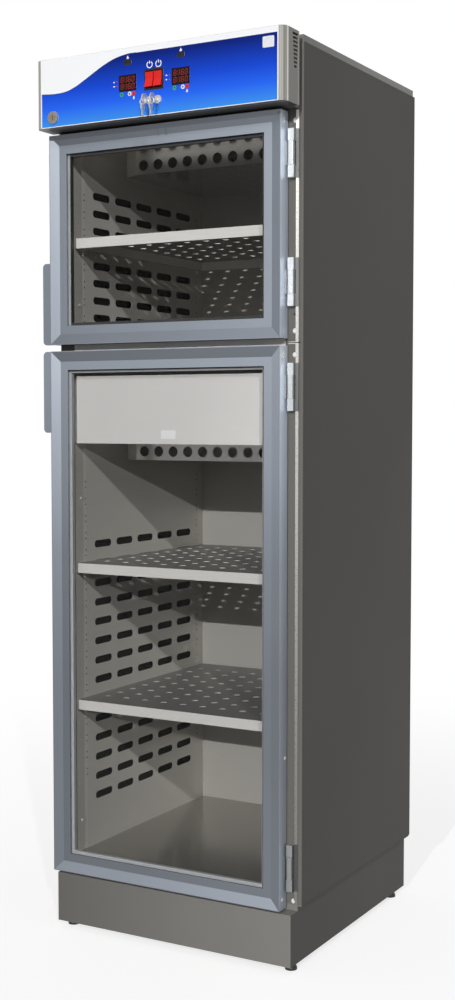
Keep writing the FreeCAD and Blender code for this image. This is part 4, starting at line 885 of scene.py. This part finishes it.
class CABINET_OT_displays(CabinetOperator, bpy.types.Operator):
    """Finishes the display lenses and lights their digits and status lamps"""

    bl_idname = "cabinet.displays"
    bl_label = "Displays"

    def execute(self, context):
        sizes = self.sizes
        lens = moulded("acrylic_smoked_lens", linear("#160a09"), 0.2, 200.0, 0.01, 0.2)
        finish(lens, "display_modules")
        front = front_of("display_modules")
        lit, unlit = bmesh.new(), bmesh.new()
        for x in mm(*COLUMNS):
            for row in mm(7.3, -7.3):
                for i, digit in enumerate(READING):
                    middle = x + (i - 1.5) * sizes.digit_pitch
                    self.digit(lit, unlit, middle, mm(DISPLAY_Z) + row, digit, front)
        glow = lit_segment("led_red_lit", self.colours.digits, 0.25)
        faint = lit_segment("led_red_faint", linear("#5a1410"), 0.05)
        piece("display_digits_lit", lit, glow, "cabinet")
        piece("display_digits_faint", unlit, faint, "cabinet")
        overlay = front_of("control_overlay") - sizes.film
        spots = []
        for x in mm(*COLUMNS):
            for z in mm(*LAMP_ROWS):
                spots.append(((x - mm(27), overlay, z), sizes.lamp, mm(0.9)))
        lamp = lit_segment("led_red_lamp", linear("#d3201a"), 0.3)
        heads("status_lamps", spots, (0, -1, 0), lamp)
        return {"FINISHED"}

    def digit(self, lit, unlit, x, z, digit, front):
        """Adds the segments of one digit to the lit and unlit meshes."""
        width, height = self.sizes.digit_width, self.sizes.digit_height
        pen, thick = mm(1.1, 0.05)
        for name, (across, up, level) in SEGMENTS.items():
            cx, cz = x + across * width, z + up * height
            long = width - pen if level else height / 2 - pen * 0.6
            half, tip = long / 2, pen / 2
            shape = [(-half, 0), (-half + tip, -tip), (half - tip, -tip)]
            shape += [(half, 0), (half - tip, tip), (-half + tip, tip)]
            if not level:
                shape = [(b, a) for a, b in shape]
            outline = [(cx + a + (cz + b - z) * SLANT, cz + b) for a, b in shape]
            film(lit if name in SHAPES[digit] else unlit, [outline], front - thick, thick)


class CABINET_OT_switches(CabinetOperator, bpy.types.Operator):
    """Finishes rockers, keys on the film and ports, and marks the keys"""

    bl_idname = "cabinet.switches"
    bl_label = "Switches"

    def execute(self, context):
        black = moulded("nylon_black_bezel", linear("#121213"), 0.35)
        finish(black, "rocker_bezel", "usb_ports")
        red = moulded("polycarbonate_red_rocker", self.colours.rocker, 0.25, 120.0, 0.02)
        finish(red, "left_rocker", "right_rocker")
        kinds = {
            "set": (linear("#2fae72"), linear("#123a2b"), "green_plastic"),
            "down": (linear("#dfe6f5"), linear("#2b50b8"), "white_plastic"),
            "up": (linear("#d5303a"), linear("#8a1018"), "red_plastic"),
        }
        thick = mm(INK)
        for kind, (ring, middle, slot) in kinds.items():
            cap = moulded(f"silicone_key_{kind}", ring, 0.4)
            dot = moulded(f"ink_key_{kind}", middle, 0.4)
            for side in ("left", "right"):
                node = f"{side}_{kind}_button"
                finish(cap, node)
                low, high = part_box(node)
                x, z = (low.x + high.x) / 2, (low.z + high.z) / 2
                outline = circle_points(x, z, mm(2.0), 24)
                name = f"{side}_{kind}_key_dot"
                films(name, [outline], low.y - thick, thick, dot, node)
        return {"FINISHED"}


class CABINET_OT_locks(CabinetOperator, bpy.types.Operator):
    """Finishes the key switches, their keys and the panel lock"""

    bl_idname = "cabinet.locks"
    bl_label = "Locks and keys"

    def execute(self, context):
        nickel = self.colours.nickel
        finish(plated("nickel_plated_keys", nickel, 0.3, 0.5), "left_key", "right_key")
        spares = plated("nickel_plated_spares", nickel, 0.3, 0.5)
        finish(spares, "left_spare_key", "right_spare_key")
        # the panel lock at the left is older and duller than the key switches
        darkening = [("Object", "X", [(-0.25, 0.45), (-0.1, 1.0)])]
        finish(plated("nickel_plated_barrels", nickel, 0.3, 0.7, darkening), "lock_barrels")
        finish(plated("brass_tinted_plug", linear("#94857a"), 0.4, 0.5), "panel_lock_plug")
        return {"FINISHED"}


# screws down each side of the rear panel, X of those between them in mm, and the
# height of a head for its width
REAR_ROWS = 9
REAR_COLUMNS = (-140, 14, 168)
HEAD_RISE = 0.32


class CABINET_OT_fastenings(CabinetOperator, bpy.types.Operator):
    """Adds the screws of the rear panel"""

    bl_idname = "cabinet.fastenings"
    bl_label = "Fastenings"

    def execute(self, context):
        low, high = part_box("rear_panel")
        size, edge = self.sizes.screw, mm(8)
        places = []
        for i in range(REAR_ROWS):
            z = low.z + edge + (high.z - low.z - 2 * edge) * i / (REAR_ROWS - 1)
            places += [(x, high.y, z) for x in (low.x + edge, high.x - edge)]
        for x in mm(*REAR_COLUMNS):
            places += [(x, high.y, z) for z in (low.z + edge, high.z - edge)]
        spots = [(place, size, size * HEAD_RISE) for place in places]
        steel = plated("zinc_plated_screws", linear("#b7b9bb"), 0.3)
        heads("rear_panel_screws", spots, (0, 1, 0), steel)
        return {"FINISHED"}


# runs of the bead beside the hinges, from their lower to their upper ends in mm
BEAD_RUNS = (
    (140.5, 168.8),
    (268.0, 1170.1),
    (1269.3, 1308.2),
    (1312.6, 1383.9),
    (1483.1, 1643.6),
    (1742.8, 1780.0),
)
BEAD_LEFT = 302.3
# places of the screws in the doors' hinge-side edges: Y, Z and diameter in mm
DOOR_EDGE_SCREWS = {
    "upper": ((-262.8, 1761.4, 4.4), (-262.8, 1755.2, 4.4)),
    "lower": (
        (-264.0, 1287.4, 6.0),
        (-264.0, 1279.8, 6.0),
        (-255.0, 450.0, 7.5),
        (-266.6, 153.2, 7.5),
    ),
}
# inner face of the chambers' left walls, and the Y and Z of the studs on it, in mm
LINER_LEFT = -251.0
LINER_STUDS = ((-225.0, 1408.7), (-223.5, 975.2), (-225.0, 237.9))


class CABINET_OT_trim(CabinetOperator, bpy.types.Operator):
    """Adds the polished bead beside the hinges, whose near-white is a painted highlight, and the
    seam between the doors, with painted highlights and painted shade
    """

    bl_idname = "cabinet.trim"
    bl_label = "Edge trim"

    def execute(self, context):
        face = front_of("side_panel_right")
        self.bead(face)
        thick = mm(0.4)
        front = face - thick
        # painted highlights: near-white lines along the edges of the seam
        seam_highlight = plated("seam_edge_painted_highlight", self.colours.trim, 0.3, 0.2)
        edges = [box_points(*mm(296.5, z, 23, 1.1)) for z in (1308.7, 1312.1)]
        films("flange_seam_highlights", edges, front, thick, seam_highlight)
        # painted shade: a dark film in the seam's gap
        dark = moulded("seam_gap_painted_shade", linear("#242424"), 0.6)
        gap = box_points(*mm(299.5, 1310.4, 29, 1.5))
        films("flange_seam_shade", [gap], front, thick, dark)
        self.fixings(face)
        return {"FINISHED"}

    def bead(self, face):
        """Adds the bead, open where the hinges interrupt it."""
        left, width, rise = mm(BEAD_LEFT), self.sizes.bead_width, self.sizes.bead_rise
        section = [
            (left, face),
            (left, face - rise * 0.8),
            (left + width * 0.08, face - rise),
            (left + width * 0.5, face - rise * 0.62),
            (left + width, face),
        ]
        work = bmesh.new()
        for low, high in BEAD_RUNS:
            ends = [[work.verts.new((x, y, z)) for x, y in section] for z in mm(low, high)]
            work.faces.new(ends[0])
            work.faces.new(ends[1])
            for i, (start, close) in enumerate(zip(*ends)):
                work.faces.new((ends[0][i - 1], start, close, ends[1][i - 1]))
        # painted highlight: near-white polished steel, painted darker lower down where the
        # highlight fades
        height = [(0.14, 0.2), (0.45, 0.22), (0.8, 0.34)]
        height += [(1.0, 0.45), (1.25, 0.52), (1.75, 0.58)]
        drifts = [("Object", "Z", height)]
        bright = plated("bead_painted_highlight", self.colours.trim, 0.3, 0.2, drifts)
        piece("hinge_side_highlight", work, bright, "cabinet")

    def fixings(self, face):
        """Adds the small screws of the flange, the doors' edges and the liner."""
        pale = moulded("nylon_pale_fixings", linear("#e4e4e2"), 0.4)
        dark = moulded("nylon_dark_fixings", linear("#1d1c1b"), 0.4)
        forward, right = (0, -1, 0), (1, 0, 0)
        stud = ((mm(303.6), face, mm(262.0)), *mm(4.0, 1.4))
        heads("flange_stud", [stud], forward, pale)
        screw = ((mm(299.4), face, mm(1368.6)), *mm(5.0, 1.2))
        heads("flange_screw", [screw], forward, dark)
        for level, screws in DOOR_EDGE_SCREWS.items():
            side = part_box(f"{level}_door_frame")[1].x
            spots = [((side, *mm(y, z)), *mm(size, 1.0)) for y, z, size in screws]
            name = f"{level}_door_edge_screws"
            heads(name, spots, right, pale, f"{level}_door")
        spots = [(mm(LINER_LEFT, y, z), *mm(8.0, 3.2)) for y, z in LINER_STUDS]
        heads("liner_front_studs", spots, right, pale)


class CABINET_OT_label(CabinetOperator, bpy.types.Operator):
    """Puts a blank label on the panel between the chambers"""

    bl_idname = "cabinet.label"
    bl_label = "Blank label"

    def execute(self, context):
        thick = mm(0.15)
        front = front_of("centre_panel") - thick
        paper = moulded("vinyl_label_blank", linear("#ffffff"), 0.5, 700.0, 0.03)
        outline = box_points(*mm(-4.6, 1120.8, 37, 18.6, 1.2))
        films("blank_label", [outline], front, thick, paper)
        return {"FINISHED"}


# where the floor starts to fade and where it has gone, in metres from the middle
FADE_FROM = 0.8
FADE_TO = 3.0
FLOOR_RADIUS = 30
# a distant lamp lights the same from anywhere, so this is only where it stands
LAMP_DISTANCE = 4


def seen_rays(tree):
    """A light path's outputs, and 1 for a ray that shows a thing to the camera."""
    path = add(tree, "LightPath").outputs
    seen = path["Is Camera Ray"]
    for kind in ("Is Glossy Ray", "Is Transmission Ray"):
        seen = add(tree, "Math", seen, path[kind], operation="MAXIMUM")
    return path, seen


class CABINET_OT_stage(CabinetOperator, bpy.types.Operator):
    """Sets the floor, the lamps, the sky and the camera"""

    bl_idname = "cabinet.stage"
    bl_label = "Stage"

    def execute(self, context):
        self.floor()
        self.sky()
        studio = context.scene.studio_settings
        self.lamp("front_lamp", studio.key, bearing=10.0, height=17.7, spread=0.3)
        self.lamp("side_lamp", studio.side, bearing=40.0, height=26.1, spread=1.0)
        self.camera()
        context.scene.view_settings.view_transform = "Standard"
        return {"FINISHED"}

    def floor(self):
        """A pale floor that fades into the white far from the cabinet."""
        work = bmesh.new()
        bmesh.ops.create_circle(work, cap_ends=True, segments=96, radius=FLOOR_RADIUS)
        mesh = bpy.data.meshes.new("studio_floor")
        work.to_mesh(mesh)
        work.free()
        made = bpy.data.materials.new("studio_floor_pale")
        made.use_nodes = True
        tree = made.node_tree
        tree.nodes.clear()
        place = add(tree, "TexCoord").outputs["Object"]
        far = add(tree, "VectorMath", place, operation="LENGTH").outputs["Value"]
        smooth = "SMOOTHSTEP"
        fade = add(tree, "MapRange", far, FADE_FROM, FADE_TO, interpolation_type=smooth)
        seen = seen_rays(tree)[1]
        matt = add(tree, "BsdfDiffuse", (0.42, 0.42, 0.42, 1))
        glow = add(tree, "Emission", Strength=0.72)
        white = add(tree, "Emission", Strength=1.0)
        near = add(tree, "AddShader", matt, glow)
        shown = add(tree, "MixShader", fade, near, white)
        both = add(tree, "MixShader", seen, matt, shown)
        add(tree, "OutputMaterial", Surface=both)
        mesh.materials.append(made)
        floor = bpy.data.objects.new("studio_floor", mesh)
        bpy.context.scene.collection.objects.link(floor)

    def sky(self):
        """Even light all round, seen as white; dimmer on the open side in front."""
        world = bpy.data.worlds.new("studio_sky")
        bpy.context.scene.world = world
        world.use_nodes = True
        tree = world.node_tree
        tree.nodes.clear()
        path, seen = seen_rays(tree)
        # light that has bounced off a matt surface finds only the even light
        bounces = path["Diffuse Depth"]
        straight = add(tree, "Math", bounces, 0.5, operation="LESS_THAN")
        seen = add(tree, "Math", seen, straight, operation="MULTIPLY")
        ahead = add(tree, "TexCoord").outputs["Generated"]
        parts = add(tree, "SeparateXYZ", ahead)
        mirrored = add(tree, "MapRange", parts.outputs["Y"], -1.0, 0.6, 0.55, 1.0)
        shown = add(tree, "Mix", path["Is Glossy Ray"], None, 1.0, mirrored)
        white = (1, 1, 1, 1)
        even_strength = bpy.context.scene.studio_settings.sky
        even = add(tree, "Background", white, even_strength)
        bright = add(tree, "Background", white, shown)
        both = add(tree, "MixShader", seen, even, bright)
        add(tree, "OutputWorld", Surface=both)

    def lamp(self, name, energy, bearing, height, spread):
        """A distant lamp, by its degrees right of the front, above level and across."""
        data = bpy.data.lights.new(name, "SUN")
        data.energy, data.angle = energy, math.radians(spread)
        turn, tilt = math.radians(bearing), math.radians(height)
        level = math.cos(tilt)
        towards = Vector((math.sin(turn) * level, -math.cos(turn) * level, math.sin(tilt)))
        made = bpy.data.objects.new(name, data)
        made.location = towards * LAMP_DISTANCE
        made.rotation_euler = towards.to_track_quat("Z", "Y").to_euler()
        bpy.context.scene.collection.objects.link(made)

    def camera(self):
        """The camera: a 36 mm frame on its long side, level with the upper shelf."""
        data = bpy.data.cameras.new("camera")
        data.sensor_fit, data.sensor_width, data.lens = "AUTO", 36.0, 51.6637
        made = bpy.data.objects.new("camera", data)
        made.location = mm(1633.2436, -2881.2451, 1155.5190)
        tilt, turn = math.radians(86.7454), math.radians(29.5)
        made.rotation_euler = Euler((tilt, 0.0, turn), "XYZ")
        bpy.context.scene.collection.objects.link(made)
        bpy.context.scene.camera = made


# ---- sidebar and start


OPERATORS = (
    CABINET_OT_carcass,
    CABINET_OT_chambers,
    CABINET_OT_machinery,
    CABINET_OT_doors,
    CABINET_OT_hinges,
    CABINET_OT_header,
    CABINET_OT_marks,
    CABINET_OT_displays,
    CABINET_OT_switches,
    CABINET_OT_locks,
    CABINET_OT_fastenings,
    CABINET_OT_trim,
    CABINET_OT_label,
    CABINET_OT_stage,
)


class CABINET_PT_sidebar(bpy.types.Panel):
    """Lists the cabinet's colours, sizes and operators"""

    bl_idname = "CABINET_PT_sidebar"
    bl_label = "Warming cabinet"
    bl_space_type = "VIEW_3D"
    bl_region_type = "UI"
    bl_category = "Warming cabinet"

    def draw(self, context):
        scene = context.scene
        for group in (scene.cabinet_colours, scene.cabinet_sizes, scene.studio_settings):
            column = self.layout.column(align=True)
            for name in group.__annotations__:
                column.prop(group, name)
        for operator in OPERATORS:
            self.layout.operator(operator.bl_idname)


CLASSES = (CabinetColours, CabinetSizes, StudioSettings, *OPERATORS, CABINET_PT_sidebar)


def register():
    """Registers the classes and hangs the settings on the scene."""
    for kind in CLASSES:
        bpy.utils.register_class(kind)
    scene = bpy.types.Scene
    scene.cabinet_colours = bpy.props.PointerProperty(type=CabinetColours)
    scene.cabinet_sizes = bpy.props.PointerProperty(type=CabinetSizes)
    scene.studio_settings = bpy.props.PointerProperty(type=StudioSettings)


def unregister():
    """Takes the settings and the classes away again."""
    for name in ("cabinet_colours", "cabinet_sizes", "studio_settings"):
        delattr(bpy.types.Scene, name)
    for kind in reversed(CLASSES):
        bpy.utils.unregister_class(kind)


def main():
    """Runs the operators in order."""
    register()
    for operator in OPERATORS:
        group, name = operator.bl_idname.split(".")
        getattr(getattr(bpy.ops, group), name)()


if __name__ == "__main__":
    main()
